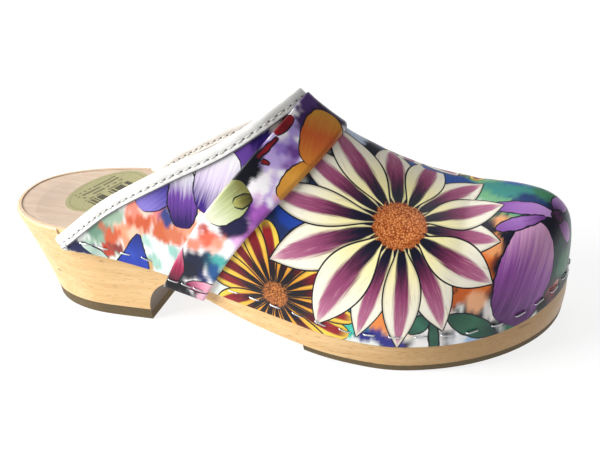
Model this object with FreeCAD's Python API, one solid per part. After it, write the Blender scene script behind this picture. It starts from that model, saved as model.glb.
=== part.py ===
"""Wooden clog, right foot: an alder sole with a stapled leather upper and a fixed instep strap.

Millimetres, Z up. While it is built, X runs from the back of the heel to the toe, Y is zero on the
heel's centre line and points to the inner (medial) side of the foot, and Z is zero on the ground.
At the end every piece is moved so that the origin is under the middle of the whole clog.
"""
import FreeCAD, Part
import math
import os

Vector = FreeCAD.Vector

# ---------------------------------------------------------------- driving dimensions
LATERAL = -1                  # outer side of the foot, at negative Y
MEDIAL = 1                    # inner side of the foot, at positive Y
SIDES = (LATERAL, MEDIAL)

SOLE_LENGTH = 262.0
RIM_HEIGHT = 48.2             # top of the wooden rim at the heel
HEEL_END = 60.0               # the rounded heel reaches from x = 0 to here
BALL = 190.0                  # widest station, where the rounded toe begins
TOE_CENTRE_Y = 8.5            # the toe's tip lies this far to the medial side
HEEL_HALF = {LATERAL: 38.8, MEDIAL: 30.0}
BALL_HALF = {LATERAL: 48.2, MEDIAL: 45.1}
WAIST = {LATERAL: (105.0, 175.0), MEDIAL: (95.0, 190.0)}
HEEL_ROUNDNESS = 2.2          # superellipse exponents of the plan outline
TOE_ROUNDNESS = 2.0

HEEL_TAPER_SIDE = 6.6         # how far the heel's foot stands in from the rim, at the ground
HEEL_TAPER_BACK = 12.5
HEEL_TAPER_BOW = 1.35         # above 1 the heel's wall is hollow rather than straight
EDGE_TAPER = 1.9              # the forefoot's wall leans in by this much below its bend
EDGE_BEND_Z = 14.0
BLANK_TOP = 62.0
BREAST_X = 78.6               # front face of the heel
COVE_RADIUS = 20.5            # hollow between the heel's front and the waist
FOOTBED_RIM = 3.0             # width of the flat rim round the footbed
RIM_ROUNDING = 1.5            # radius on the rim's outer edge
FOOTBED_STEP = 0.5            # the footbed lies this far below the rim
HEEL_CUP_DEPTH = 1.5
HEEL_CUP_RADIUS = 290.0
HEEL_CUP_CENTRE = (43.0, -3.5)

LIFT_THICKNESS = 5.6
RUBBER_THICKNESS = 2.8
RUBBER_START = 158.5

LEATHER = 1.8
LINING = 1.3
TOE_PUFF = 0.8
PROUD = 0.6                   # the leather's face stands this far outside the wood
PUFF_START = 212.0
SKIRT = 9.0                   # how far the upper's working forms reach below the leather's edge
CORNER_X = (40.4, 44.0)       # rear corner of the leather, at the topline and at its lower edge
TOPLINE_SKEW = -0.107         # the topline is lower on the medial side by this much per mm of Y
TOE_CAP = 222.0               # the toe's rounded front begins here
TOE_CAP_ROUNDNESS = 5.2
CROWN_Y = 5.9                 # the instep's crown lies this far to the medial side
SIDE_FULLNESS = 0.02

BINDING = 0.9
BINDING_WIDTH = 5.3
STITCH_PITCH = 4.1
STITCH_LENGTH = 2.7
STITCH_RADIUS = 0.32
STRAP = 2.1
STRAP_TAIL = 5.0              # the strap's ends reach this far below the upper's edge

STAPLE_PITCH = 10.3
STAPLE_CROWN = 5.4
STAPLE_WIRE = 0.7
STAPLE_LEG = 7.0
STAPLE_START = 4.9            # first place along the edge, from the heel's back
STAPLE_RISE = 5.0             # staples sit this far above the leather's lower edge
FIRST_STAPLE_X = 51.0
STRAP_STAPLES_X = (99.2, 105.0, 110.8)
STRAP_SPAN = (88.0, 120.0)    # the strap covers the leather's edge here

NAIL_SHANK_RADIUS = 0.9
NAIL_HEAD_RADIUS = 2.2
NAIL_HEAD = 0.9

LABEL_CENTRE = (44.0, 4.0)
LABEL_HALF = (22.0, 17.0)
LABEL_TURN = 66.0
LABEL_THICKNESS = 0.2

HALF_SPAN = 90.0              # working prisms reach this far each side of Y = 0
FAR = 400.0

# heights along the clog, as (x, z)
RIM_LINE = [(-20, RIM_HEIGHT), (35, RIM_HEIGHT), (54, RIM_HEIGHT), (66, 47.4), (98, 40.6), (130, 33),
            (162, 27.6), (195, 25.2), (230, 25.6), (280, 28)]
UNDERSIDE = [(99, 24.6), (115, 17.2), (130, 13.2), (150, 8.8), (170, 4.9), (190, 2.8), (215, 3.9),
             (240, 5.6), (280, 8.4)]
FEATHER = [(20, 38.4), (35, 38.1), (60, 37.5), (90, 32), (120, 23.7), (150, 19.4), (185, 14),
           (215, 14.4), (240, 16.5), (262, 21.2), (275, 24)]
CROWN = [(20, 149), (40, 149), (80, 148), (110, 129.6), (135, 115.5), (155, 94), (175, 78.2),
         (200, 64), (222, 58.4)]
TOPLINE = [(15, 25), (40, 38.7), (70, 59.8), (100, 75.4), (125, 86.4), (150, 102.5), (175, 121.1)]
STRAP_REAR = [(84, 12), (91, 22), (103, 42), (119, 64.5), (150.5, 99), (162, 112)]
STRAP_FRONT = [(106, 10), (112, 20), (128.5, 44.5), (147.5, 66), (166, 83.5), (180, 97)]


# ---------------------------------------------------------------- curves
def smooth_step(x, start, end):
    t = min(max((x - start) / (end - start), 0.0), 1.0)
    return t * t * (3 - 2 * t)


def height_curve(points):
    """Height as a smooth function of x through the given points, straight beyond its ends."""
    last = len(points) - 1
    slopes = []
    for i in range(len(points)):
        before = points[max(i - 1, 0)]
        after = points[min(i + 1, last)]
        slopes.append((after[1] - before[1]) / (after[0] - before[0]))

    def height(x):
        if x <= points[0][0]:
            return points[0][1] + slopes[0] * (x - points[0][0])
        if x >= points[last][0]:
            return points[last][1] + slopes[last] * (x - points[last][0])
        i = max(k for k in range(last) if points[k][0] <= x)
        span = points[i + 1][0] - points[i][0]
        t = (x - points[i][0]) / span
        rise = points[i + 1][1] - points[i][1]
        start_bend = span * slopes[i] - rise
        end_bend = rise - span * slopes[i + 1]
        return points[i][1] + t * rise + t * (1 - t) * (start_bend * (1 - t) + end_bend * t)

    return height


rim_z = height_curve(RIM_LINE)
underside_z = height_curve(UNDERSIDE)
feather_z = height_curve(FEATHER)
crown_z = height_curve(CROWN)
topline_z = height_curve(TOPLINE)


def edge_y(x, side, grow, grow_back):
    """Y of the plan outline at x, with the outline grown by some mm, and by its own amount at the back."""
    half = HEEL_HALF[side] + (BALL_HALF[side] - HEEL_HALF[side]) * smooth_step(x, *WAIST[side])
    heel = min(max((HEEL_END - x) / (HEEL_END + grow_back), 0.0), 1.0)
    toe = min(max((x - BALL) / (SOLE_LENGTH + grow - BALL), 0.0), 1.0)
    centre = TOE_CENTRE_Y if x > BALL else 0.0
    round_heel = (1 - heel ** HEEL_ROUNDNESS) ** (1 / HEEL_ROUNDNESS)
    round_toe = (1 - toe ** TOE_ROUNDNESS) ** (1 / TOE_ROUNDNESS)
    return centre + side * (half + grow - side * centre) * round_heel * round_toe


def bunched_stations(start, end):
    """Stations from start to end that crowd together at both ends, where the outline turns."""
    steps = 24
    stations = []
    for i in range(steps + 1):
        stations.append(start + (end - start) * (1 - math.cos(math.pi * i / steps)) / 2)
    return stations


def outline_points(grow, z):
    """Points round the plan outline: up the lateral side, round the toe and down the medial side."""
    xs = bunched_stations(-grow, SOLE_LENGTH + grow)
    points = []
    for x in xs:
        points.append(Vector(x, edge_y(x, LATERAL, grow, grow), z))
    for x in reversed(xs[1:-1]):
        points.append(Vector(x, edge_y(x, MEDIAL, grow, grow), z))
    return points


def outline_curve(grow, z):
    curve = Part.BSplineCurve()
    curve.interpolate(Points=outline_points(grow, z), PeriodicFlag=True)
    return curve


# ---------------------------------------------------------------- working solids
def side_prism(points, skew=0.0):
    """Solid of an XZ outline, pushed across the clog; skew tilts it by that much Z per mm of Y."""
    face = Part.Face(Part.makePolygon(points + points[:1]))
    face.translate(Vector(0, -HALF_SPAN, -HALF_SPAN * skew))
    return face.extrude(Vector(0, 2 * HALF_SPAN, 2 * HALF_SPAN * skew))


def line_prism(height, start, end, reach, skew=0.0):
    """Everything between a height curve and a level far above (reach > 0) or below it."""
    steps = 26
    curve = Part.BSplineCurve()
    points = []
    for i in range(steps + 1):
        x = start + (end - start) * i / steps
        points.append(Vector(x, 0, height(x)))
    curve.interpolate(points)
    corner_a = Vector(end, 0, reach)
    corner_b = Vector(start, 0, reach)
    sides = Part.makePolygon([points[-1], corner_a, corner_b, points[0]])
    face = Part.Face(Part.Wire([curve.toShape()] + sides.Edges))
    face.translate(Vector(0, -HALF_SPAN, -HALF_SPAN * skew))
    return face.extrude(Vector(0, 2 * HALF_SPAN, 2 * HALF_SPAN * skew))


def shifted(height, amount):
    return lambda x: height(x) + amount


def sole_blank():
    """The sole's outside, drafted at the heel and slightly at the forefoot."""
    wires = []
    for z in (0.0, 6.0, EDGE_BEND_Z, 24.0, 34.0, 44.0, BLANK_TOP):
        wires.append(blank_wire(z))
    return Part.makeLoft(wires, True, False)


def blank_wire(z):
    """Sole outline at height z: the heel stands in from its rim, the forefoot only below its bend."""
    taper = 1 - (z / RIM_HEIGHT) ** HEEL_TAPER_BOW
    back = HEEL_TAPER_BACK * taper
    toe = EDGE_TAPER * max(0.0, 1 - z / EDGE_BEND_Z)
    rows = []
    for side in SIDES:
        row = []
        for x in bunched_stations(back, SOLE_LENGTH - toe):
            blend = smooth_step(x, 80.0, 140.0)
            inset = (HEEL_TAPER_SIDE * taper - toe) * (1 - blend)
            y = edge_y(x, side, -toe, -back)
            row.append(Vector(x, y * (1 - inset / HEEL_HALF[side]), z))
        rows.append(row)
    points = rows[0] + rows[1][-2:0:-1]
    curve = Part.BSplineCurve()
    curve.interpolate(Points=points, PeriodicFlag=True)
    return Part.Wire([curve.toShape()])


def crown_y(x):
    return CROWN_Y * smooth_step(x, 40, 120) + (TOE_CENTRE_Y - CROWN_Y) * smooth_step(x, 170, 240)


def arch_exponent(x):
    """Squareness of the upper's cross-section: 2 is an ellipse, less is more pointed."""
    return 2.11 - 0.56 * smooth_step(x, 80, 150) + 0.87 * smooth_step(x, 150, 222)


def arch_top(x, grow):
    """Height of the upper's crown at x; a grown form is thicker where the crown slopes."""
    tip = SOLE_LENGTH + grow
    layer = PROUD - grow
    if x <= TOE_CAP:
        slope = (crown_z(x + 1) - crown_z(x - 1)) / 2
        return crown_z(x) - layer * math.sqrt(1 + min(slope * slope, 1.2))
    share = min((x - TOE_CAP) / (tip - TOE_CAP), 1.0)
    cap = (1 - share ** TOE_CAP_ROUNDNESS) ** (1 / TOE_CAP_ROUNDNESS)
    base = feather_z(x)
    return base + (crown_z(TOE_CAP) - layer - base) * cap


def arch_wire(x, grow):
    """Closed cross-section of the upper's form at x: an arch with a straight skirt below it."""
    base = feather_z(x)
    rise = arch_top(x, grow) - base
    power = 2 / arch_exponent(x)
    middle = crown_y(x)
    steps = 20
    points = []
    for i in range(steps + 1):
        angle = math.pi * i / steps
        out = abs(math.cos(angle)) ** power
        up = math.sin(angle) ** power if 0 < i < steps else 0.0
        side = LATERAL if angle < math.pi / 2 else MEDIAL
        reach = (edge_y(x, side, grow, 0.0) - middle) * (1 + SIDE_FULLNESS * 4 * up * (1 - up))
        points.append(Vector(x, middle + reach * out, base + rise * up))
    arch = Part.BSplineCurve()
    arch.interpolate(points)
    low = base - SKIRT
    first = Vector(x, points[0].y, low)
    last = Vector(x, points[-1].y, low)
    skirt = Part.makePolygon([points[-1], last, first, points[0]])
    return Part.Wire([arch.toShape()] + skirt.Edges)


def upper_form(grow):
    """Solid that fills the upper: grow is measured outwards from the wood's edge."""
    stations = [32, 48, 64, 80, 96, 110, 122, 134, 145, 156, 167, 178, 190, 202, 212, TOE_CAP]
    tip = SOLE_LENGTH + grow
    for back_from_tip in (32, 25, 19, 14, 10, 6.8, 4.3, 2.4, 1.1, 0.3):
        stations.append(tip - back_from_tip)
    wires = []
    for x in stations:
        wires.append(arch_wire(x, grow))
    return Part.makeLoft(wires, True, False)


def rear_trim():
    """Everything behind the upper's rear corner."""
    top, low = CORNER_X
    return side_prism([Vector(-20, 0, -10), Vector(low, 0, -10), Vector(low, 0, 36),
                       Vector(top, 0, 50), Vector(top, 0, 190), Vector(-20, 0, 190)])


# ---------------------------------------------------------------- wooden sole and rubber
def profile_above_underside():
    """Side view of the wood from its underside up: heel block, cove, waist and rockered forefoot."""
    cove_centre = Vector(BREAST_X + COVE_RADIUS, 0, LIFT_THICKNESS - 1.5)
    cove_start = Vector(BREAST_X, 0, cove_centre.z)
    cove_end = Vector(cove_centre.x, 0, cove_centre.z + COVE_RADIUS)
    half = COVE_RADIUS * math.sqrt(0.5)
    cove_middle = cove_centre + Vector(-half, 0, half)
    points = [cove_end]
    for x, z in UNDERSIDE[1:]:
        points.append(Vector(x, 0, z))
    rocker = Part.BSplineCurve()
    rocker.interpolate(points)
    high = BLANK_TOP + 1
    back = -20.0
    outline = Part.makePolygon([points[-1], Vector(points[-1].x, 0, high), Vector(back, 0, high),
                                Vector(back, 0, LIFT_THICKNESS), Vector(BREAST_X, 0, LIFT_THICKNESS),
                                cove_start])
    edges = [Part.Arc(cove_start, cove_middle, cove_end).toShape(), rocker.toShape()]
    face = Part.Face(Part.Wire(Part.__sortEdges__(outline.Edges + edges)))
    face.translate(Vector(0, -HALF_SPAN, 0))
    return face.extrude(Vector(0, 2 * HALF_SPAN, 0))


def footbed_space():
    """The hollow that the foot stands in: a step inside the rim, dished under the heel."""
    inner = Part.Face(Part.Wire([outline_curve(-FOOTBED_RIM, 0.0).toShape()]))
    column = inner.extrude(Vector(0, 0, BLANK_TOP))
    step = column.common(line_prism(shifted(rim_z, -FOOTBED_STEP), -20, 280, FAR / 4))
    cup_z = RIM_HEIGHT - FOOTBED_STEP - HEEL_CUP_DEPTH + HEEL_CUP_RADIUS
    cup = Part.makeSphere(HEEL_CUP_RADIUS, Vector(HEEL_CUP_CENTRE[0], HEEL_CUP_CENTRE[1], cup_z))
    return step.fuse(cup.common(column))


def rim_edges(wood):
    """Edges that lie on the rim all along."""
    found = []
    for edge in wood.Edges:
        middle = edge.valueAt((edge.FirstParameter + edge.LastParameter) / 2)
        points = [vertex.Point for vertex in edge.Vertexes] + [middle]
        on_rim = max(abs(point.z - rim_z(point.x)) for point in points) < 0.05
        if on_rim and edge.Length > 5:
            found.append(edge)
    return found


def wooden_sole(blank, space, under_leather):
    """The wood, with a rounded rim and a rebate above the feather line that the leather lies in."""
    wood = blank.common(profile_above_underside())
    wood = wood.cut(line_prism(rim_z, -20, 280, FAR / 4))
    wood = wood.makeFillet(RIM_ROUNDING, rim_edges(wood))
    wood = wood.cut(space)
    rebate = line_prism(feather_z, 10, 280, FAR / 4).cut(rear_trim()).cut(under_leather)
    return wood.cut(rebate)


def heel_lift(blank):
    box = Part.makeBox(BREAST_X + 20, 2 * HALF_SPAN, LIFT_THICKNESS, Vector(-20, -HALF_SPAN, 0))
    return blank.common(box)


def forefoot_outsole(blank):
    """Thin rubber under the forefoot, feathered at its rear edge."""
    upper_side = line_prism(underside_z, RUBBER_START, 275, -FAR / 8)
    lower_side = line_prism(shifted(underside_z, -RUBBER_THICKNESS), RUBBER_START - 1, 276, -FAR / 8)
    under = blank_wire(0.0)
    column = Part.Face(under).extrude(Vector(0, 0, -RUBBER_THICKNESS))
    slab = blank.fuse(column).common(upper_side.cut(lower_side))
    return slab


# ---------------------------------------------------------------- upper
def trimmed_upper(shell, raise_edge):
    """A layer of the upper, cut along the topline, the rear corner and its lower edge."""
    shell = shell.cut(line_prism(topline_z, 15, 175, FAR, TOPLINE_SKEW))
    shell = shell.cut(rear_trim())
    return shell.cut(line_prism(shifted(feather_z, raise_edge), 10, 280, -FAR / 8))


def instep_strap():
    """Folded leather strip that crosses the instep on top of the upper."""
    shell = upper_form(PROUD + STRAP).cut(upper_form(PROUD))
    rear = height_curve(STRAP_REAR)
    front = height_curve(STRAP_FRONT)
    shell = shell.common(line_prism(rear, STRAP_REAR[0][0], 190, -FAR / 4))
    shell = shell.common(line_prism(front, 90, STRAP_FRONT[-1][0], FAR))
    return shell.cut(line_prism(shifted(feather_z, -STRAP_TAIL), 10, 280, -FAR / 8))


def topline_binding(leather, lining):
    """Tape folded over the upper's topline, as wide inside as outside."""
    outer = upper_form(PROUD + BINDING)
    inner = upper_form(PROUD - LEATHER - LINING - BINDING)
    band = outer.common(line_prism(shifted(topline_z, -BINDING_WIDTH), 15, 175, FAR, TOPLINE_SKEW))
    band = band.cut(line_prism(shifted(topline_z, BINDING * 1.3), 15, 175, FAR, TOPLINE_SKEW))
    band = band.cut(rear_trim())
    band = band.cut(inner)
    band = band.cut(line_prism(feather_z, 10, 280, -FAR / 8))
    return band.cut(leather).cut(lining)


# ---------------------------------------------------------------- fasteners, thread and label
def surface_point(x, side, height, grow):
    """Point of the upper's form at station x and height z on one side."""
    base = feather_z(x)
    rise = arch_top(x, grow) - base
    up = min(max((height - base) / rise, 0.0), 1.0)
    exponent = arch_exponent(x)
    out = max(1 - up ** exponent, 0.0) ** (1 / exponent)
    middle = crown_y(x)
    reach = (edge_y(x, side, grow, 0.0) - middle) * (1 + SIDE_FULLNESS * 4 * up * (1 - up))
    return Vector(x, middle + reach * out, height)


def outward_normal(x, side, height, grow):
    along = surface_point(x + 0.5, side, height, grow) - surface_point(x - 0.5, side, height, grow)
    upward = surface_point(x, side, height + 0.5, grow) - surface_point(x, side, height - 0.5, grow)
    normal = along.cross(upward)
    if normal.y * side < 0:
        normal = normal.negative()
    return normal.normalize()


def staple(centre, along, outward):
    """Wire staple: its crown lies on the surface and its two legs are driven straight in."""
    along = along.normalize()
    inward = outward.negative().normalize()
    across = along.cross(inward).normalize()
    half = along * (STAPLE_CROWN / 2)
    slim = along * (STAPLE_CROWN / 2 - STAPLE_WIRE)
    face_point = centre - inward * (STAPLE_WIRE * 0.85)
    crown = inward * STAPLE_WIRE
    leg = inward * STAPLE_LEG
    outline = [face_point - half, face_point + half, face_point + half + leg, face_point + slim + leg,
               face_point + slim + crown, face_point - slim + crown, face_point - slim + leg,
               face_point - half + leg]
    face = Part.Face(Part.makePolygon(outline + outline[:1]))
    face.translate(across * (-STAPLE_WIRE / 2))
    return face.extrude(across * STAPLE_WIRE)


def upper_staples():
    """Staples at an even pitch along the leather's lower edge, right round the toe."""
    curve = outline_curve(PROUD + 0.1, 0.0)
    length = curve.length()
    staples = []
    travelled = STAPLE_START
    while travelled < length:
        place = curve.parameterAtDistance(travelled, curve.FirstParameter)
        foot = curve.value(place)
        tangent = Vector(*curve.tangent(place)[0])
        under_strap = STRAP_SPAN[0] < foot.x < STRAP_SPAN[1]
        if foot.x > FIRST_STAPLE_X and not under_strap:
            slope = feather_z(foot.x + 0.5) - feather_z(foot.x - 0.5)
            centre = Vector(foot.x, foot.y, feather_z(foot.x) + STAPLE_RISE)
            along = Vector(tangent.x, tangent.y, slope * tangent.x)
            outward = Vector(tangent.y, -tangent.x, 0)
            staples.append(staple(centre, along, outward))
        travelled += STAPLE_PITCH
    return Part.makeCompound(staples)


def strap_staples():
    staples = []
    for side in SIDES:
        for x in STRAP_STAPLES_X:
            height = feather_z(x) + 0.4
            centre = surface_point(x, side, height, PROUD + STRAP)
            slope = feather_z(x + 1) - feather_z(x - 1)
            outward = Vector(0, side, 0)
            staples.append(staple(centre, Vector(2, 0, slope), outward))
    return Part.makeCompound(staples)


def binding_end_staples():
    """One staple through each rear end of the binding, along the tape's end."""
    x = CORNER_X[1] + 2.2
    staples = []
    for side in SIDES:
        height = feather_z(x) + 3.4
        centre = surface_point(x, side, height, PROUD + BINDING)
        outward = outward_normal(x, side, height, PROUD + BINDING)
        outward.z = 0
        staples.append(staple(centre, Vector(0, 0, 1), outward))
    return Part.makeCompound(staples)


def stitch(centre, along, outward):
    """One short bar of thread, half sunk in the tape."""
    along = along.normalize()
    start = centre - along * (STITCH_LENGTH / 2) - outward * (STITCH_RADIUS * 0.3)
    return Part.makeCylinder(STITCH_RADIUS, STITCH_LENGTH, start, along)


def stitch_path_point(x, side, grow):
    """Point of the binding's stitch line, which follows the topline a little over half way down the tape."""
    drop = BINDING_WIDTH * 0.57
    height = topline_z(x) - drop
    for _ in range(12):
        y = surface_point(x, side, height, grow).y
        height = topline_z(x) - drop + TOPLINE_SKEW * y
    return surface_point(x, side, height, grow)


def binding_stitches():
    stitches = []
    outside = PROUD + BINDING
    inside = PROUD - LEATHER - LINING - BINDING
    for side in SIDES:
        for grow, facing in ((outside, 1), (inside, -1)):
            x = CORNER_X[1] + 5.0
            last = stitch_path_point(x, side, grow)
            travelled = STITCH_PITCH
            while x < 146.0:
                here = stitch_path_point(x, side, grow)
                travelled += (here - last).Length
                last = here
                if travelled >= STITCH_PITCH:
                    along = stitch_path_point(x + 0.5, side, grow) - stitch_path_point(x - 0.5, side, grow)
                    outward = outward_normal(x, side, here.z, grow) * facing
                    stitches.append(stitch(here, along, outward))
                    travelled = 0.0
                x += 0.3
    return Part.makeCompound(stitches)


def nail(x, y, head_z, length):
    head = Part.makeCylinder(NAIL_HEAD_RADIUS, NAIL_HEAD, Vector(x, y, head_z))
    shank = Part.makeCylinder(NAIL_SHANK_RADIUS, length, Vector(x, y, head_z))
    return head.fuse(shank).removeSplitter()


def heel_nail_places():
    places = []
    for angle in (105, 145, 180, 215, 255):
        turn = math.radians(angle)
        places.append((44 + 24 * math.cos(turn), -3.5 + 19 * math.sin(turn)))
    places.append((69, -22))
    places.append((69, 14))
    return places


def outsole_nail_places():
    places = []
    for x in (172, 194, 217, 240):
        for side in SIDES:
            places.append((x, edge_y(x, side, -10.0, 0.0)))
    return places


def nails_and_wells(places, head_heights, length):
    """Nails with their heads sunk in wells that open downwards."""
    nails = []
    wells = []
    for (x, y), head_z in zip(places, head_heights):
        nails.append(nail(x, y, head_z, length))
        depth = head_z + NAIL_HEAD + 2.0
        wells.append(Part.makeCylinder(NAIL_HEAD_RADIUS + 0.1, depth, Vector(x, y, -2.0)))
    return nails, wells


def size_label(space):
    """Paper oval stuck to the heel of the footbed, following its dish."""
    oval = Part.Ellipse(Vector(0, 0, 0), LABEL_HALF[0], LABEL_HALF[1])
    face = Part.Face(Part.Wire([oval.toShape()]))
    face.rotate(Vector(0, 0, 0), Vector(0, 0, 1), LABEL_TURN)
    face.translate(Vector(LABEL_CENTRE[0], LABEL_CENTRE[1], 0))
    column = face.extrude(Vector(0, 0, BLANK_TOP))
    raised = space.copy()
    raised.translate(Vector(0, 0, LABEL_THICKNESS))
    layer = space.common(column).cut(raised)
    return layer.common(Part.makeBox(FAR, FAR, RIM_HEIGHT, Vector(-FAR / 2, -FAR / 2, 0)))


# ---------------------------------------------------------------- the whole clog
def build():
    blank = sole_blank()
    space = footbed_space()
    outer_form = upper_form(PROUD)
    under_leather = upper_form(PROUD - LEATHER)
    leather = trimmed_upper(outer_form.cut(under_leather), 0.0)
    sole = wooden_sole(blank, space, under_leather)

    puff_inside = upper_form(PROUD - LEATHER - TOE_PUFF)
    toe_box = Part.makeBox(80, 2 * HALF_SPAN, 90, Vector(PUFF_START, -HALF_SPAN, 0))
    puff = under_leather.cut(puff_inside).common(toe_box)
    above_rim = line_prism(shifted(rim_z, 0.3), -20, 280, -FAR / 8)
    puff = puff.cut(above_rim)
    lining_inside = upper_form(PROUD - LEATHER - LINING)
    lining = trimmed_upper(under_leather.cut(lining_inside), 0.0).cut(above_rim).cut(puff)

    heel_places = heel_nail_places()
    heel_nails, heel_wells = nails_and_wells(heel_places, [1.4] * len(heel_places), 17.0)
    toe_places = outsole_nail_places()
    head_heights = []
    for x, _ in toe_places:
        head_heights.append(underside_z(x) - RUBBER_THICKNESS + 0.5)
    toe_nails, toe_wells = nails_and_wells(toe_places, head_heights, 9.0)

    pieces = {
        "wooden_sole": sole,
        "heel_lift": heel_lift(blank).cut(Part.makeCompound(heel_wells)),
        "forefoot_outsole": forefoot_outsole(blank).cut(Part.makeCompound(toe_wells)),
        "vamp_upper": leather,
        "vamp_lining": lining,
        "toe_puff": puff,
        "instep_strap": instep_strap(),
        "topline_binding": topline_binding(leather, lining),
        "binding_stitches": binding_stitches(),
        "upper_staples": upper_staples(),
        "strap_staples": strap_staples(),
        "binding_end_staples": binding_end_staples(),
        "heel_lift_nails": Part.makeCompound(heel_nails),
        "outsole_nails": Part.makeCompound(toe_nails),
        "size_label": size_label(space),
    }
    return pieces


def centred(pieces):
    """Move every piece so that the origin lies on the ground under the middle of the whole clog."""
    box = FreeCAD.BoundBox()
    for shape in pieces.values():
        box.add(shape.optimalBoundingBox(True, False))
    for shape in pieces.values():
        shape.translate(Vector(-box.Center.x, -box.Center.y, -box.ZMin))
    return box


def main():
    pieces = build()
    box = centred(pieces)
    os.makedirs("parts", exist_ok=True)
    for name, shape in pieces.items():
        shape.exportStep("parts/" + name + ".step")
        print(name, "solids", len(shape.Solids), "valid", shape.isValid(), "cm3", round(shape.Volume / 1000, 2))
    print("moved by", round(-box.Center.x, 3), round(-box.Center.y, 3), round(-box.ZMin, 3))
    print("size", round(box.XLength, 1), round(box.YLength, 1), round(box.ZLength, 1))


main()
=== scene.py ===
"""Looks of the wooden clog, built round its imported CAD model.

Lengths in this script are millimetres in the build frame: X runs from the back of the heel to the
toe, Y is zero on the heel's centre line and points to the inner side of the foot, Z is zero on the
ground. They become metres in the CAD frame only when a mesh, a light or the camera is made.
"""

import math

import bmesh
import bpy
import numpy as np
from mathutils import Matrix, Vector, noise


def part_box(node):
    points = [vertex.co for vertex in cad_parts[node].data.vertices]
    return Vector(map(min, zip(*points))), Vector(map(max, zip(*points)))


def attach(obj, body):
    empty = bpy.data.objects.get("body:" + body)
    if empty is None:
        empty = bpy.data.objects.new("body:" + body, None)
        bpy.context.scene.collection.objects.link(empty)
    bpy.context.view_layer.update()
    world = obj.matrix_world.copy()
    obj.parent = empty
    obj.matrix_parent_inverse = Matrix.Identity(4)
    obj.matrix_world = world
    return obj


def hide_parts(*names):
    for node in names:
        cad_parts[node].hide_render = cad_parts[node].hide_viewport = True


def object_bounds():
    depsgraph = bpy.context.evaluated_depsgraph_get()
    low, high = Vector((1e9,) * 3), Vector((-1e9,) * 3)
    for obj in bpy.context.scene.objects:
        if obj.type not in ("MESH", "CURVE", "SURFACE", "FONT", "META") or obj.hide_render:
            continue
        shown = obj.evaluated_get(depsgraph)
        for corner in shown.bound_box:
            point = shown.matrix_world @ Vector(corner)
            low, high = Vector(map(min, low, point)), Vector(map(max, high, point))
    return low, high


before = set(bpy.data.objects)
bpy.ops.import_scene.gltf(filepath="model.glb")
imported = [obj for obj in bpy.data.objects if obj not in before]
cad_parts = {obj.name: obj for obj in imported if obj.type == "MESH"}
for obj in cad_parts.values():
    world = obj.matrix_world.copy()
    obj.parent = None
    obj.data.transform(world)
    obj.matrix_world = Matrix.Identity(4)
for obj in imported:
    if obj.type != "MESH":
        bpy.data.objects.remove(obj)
cad_low, cad_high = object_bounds()
rng = np.random.default_rng(11)

# ---------------------------------------------------------------- dimensions of the clog
LATERAL, MEDIAL = -1, 1
SOLE_LENGTH = 262.0
HEEL_END = 60.0
BALL = 190.0
TOE_CENTRE_Y = 8.5
HEEL_HALF = {LATERAL: 38.8, MEDIAL: 30.0}
BALL_HALF = {LATERAL: 48.2, MEDIAL: 45.1}
WAIST = {LATERAL: (105.0, 175.0), MEDIAL: (95.0, 190.0)}
LEATHER = 1.8
LINING = 1.3
PROUD = 0.6
TOE_CAP = 222.0
CROWN_Y = 5.9
SIDE_FULLNESS = 0.02
TOPLINE_SKEW = -0.107
UPPER_START = 43.0
CORNER_TOP = 41.0

BINDING = 0.9
BINDING_WIDTH = 5.3
STITCH_PITCH = 4.1
STITCH_SHARE = 0.66
THREAD = 0.54
STITCH_DROP = BINDING_WIDTH * 0.57
STRAP = 2.1
STRAP_TAIL = 5.0
STAPLE_PITCH = 10.3
STAPLE_CROWN = 5.4
STAPLE_WIRE = 0.7
STAPLE_START = 4.9
STAPLE_RISE = 5.0
STAPLE_LEG = 5.0
STAPLE_BEND = 0.75
STAPLE_LIFT = 0.28
STRAP_STAPLE_RISE = 0.4
FIRST_STAPLE_X = 51.0
STRAP_STAPLES_X = (99.2, 105.0, 110.8)
BINDING_STAPLE_X = 46.2
STRAP_SPAN = (88.0, 120.0)

FEATHER = [(20, 38.4), (35, 38.1), (60, 37.5), (90, 32), (120, 23.7), (150, 19.4), (185, 14),
           (215, 14.4), (240, 16.5), (262, 21.2), (275, 24)]
CROWN = [(20, 149), (40, 149), (80, 148), (110, 129.6), (135, 115.5), (155, 94), (175, 78.2),
         (200, 64), (222, 58.4)]
TOPLINE = [(15, 25), (40, 38.7), (70, 59.8), (100, 75.4), (125, 86.4), (150, 102.5), (175, 121.1)]
RIM_LINE = [(-20, 48.2), (35, 48.2), (54, 48.2), (66, 47.4), (98, 40.6), (130, 33), (162, 27.6),
            (195, 25.2), (230, 25.6), (280, 28)]
STRAP_REAR = [(84, 12), (91, 22), (103, 42), (119, 64.5), (150.5, 99), (162, 112)]
STRAP_FRONT = [(106, 10), (112, 20), (128.5, 44.5), (147.5, 66), (166, 83.5), (180, 97)]

sole_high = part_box("wooden_sole")[1]
lift_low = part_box("heel_lift")[0]
SHIFT = np.array([sole_high.x * 1000 - SOLE_LENGTH, sole_high.y * 1000 - BALL_HALF[MEDIAL],
                  lift_low.z * 1000])


def metres(points):
    return (np.asarray(points, float) + SHIFT) / 1000


# ---------------------------------------------------------------- curves and the upper's form
def smooth_step(x, start, end):
    t = np.clip((x - start) / (end - start), 0, 1)
    return t * t * (3 - 2 * t)


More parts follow.
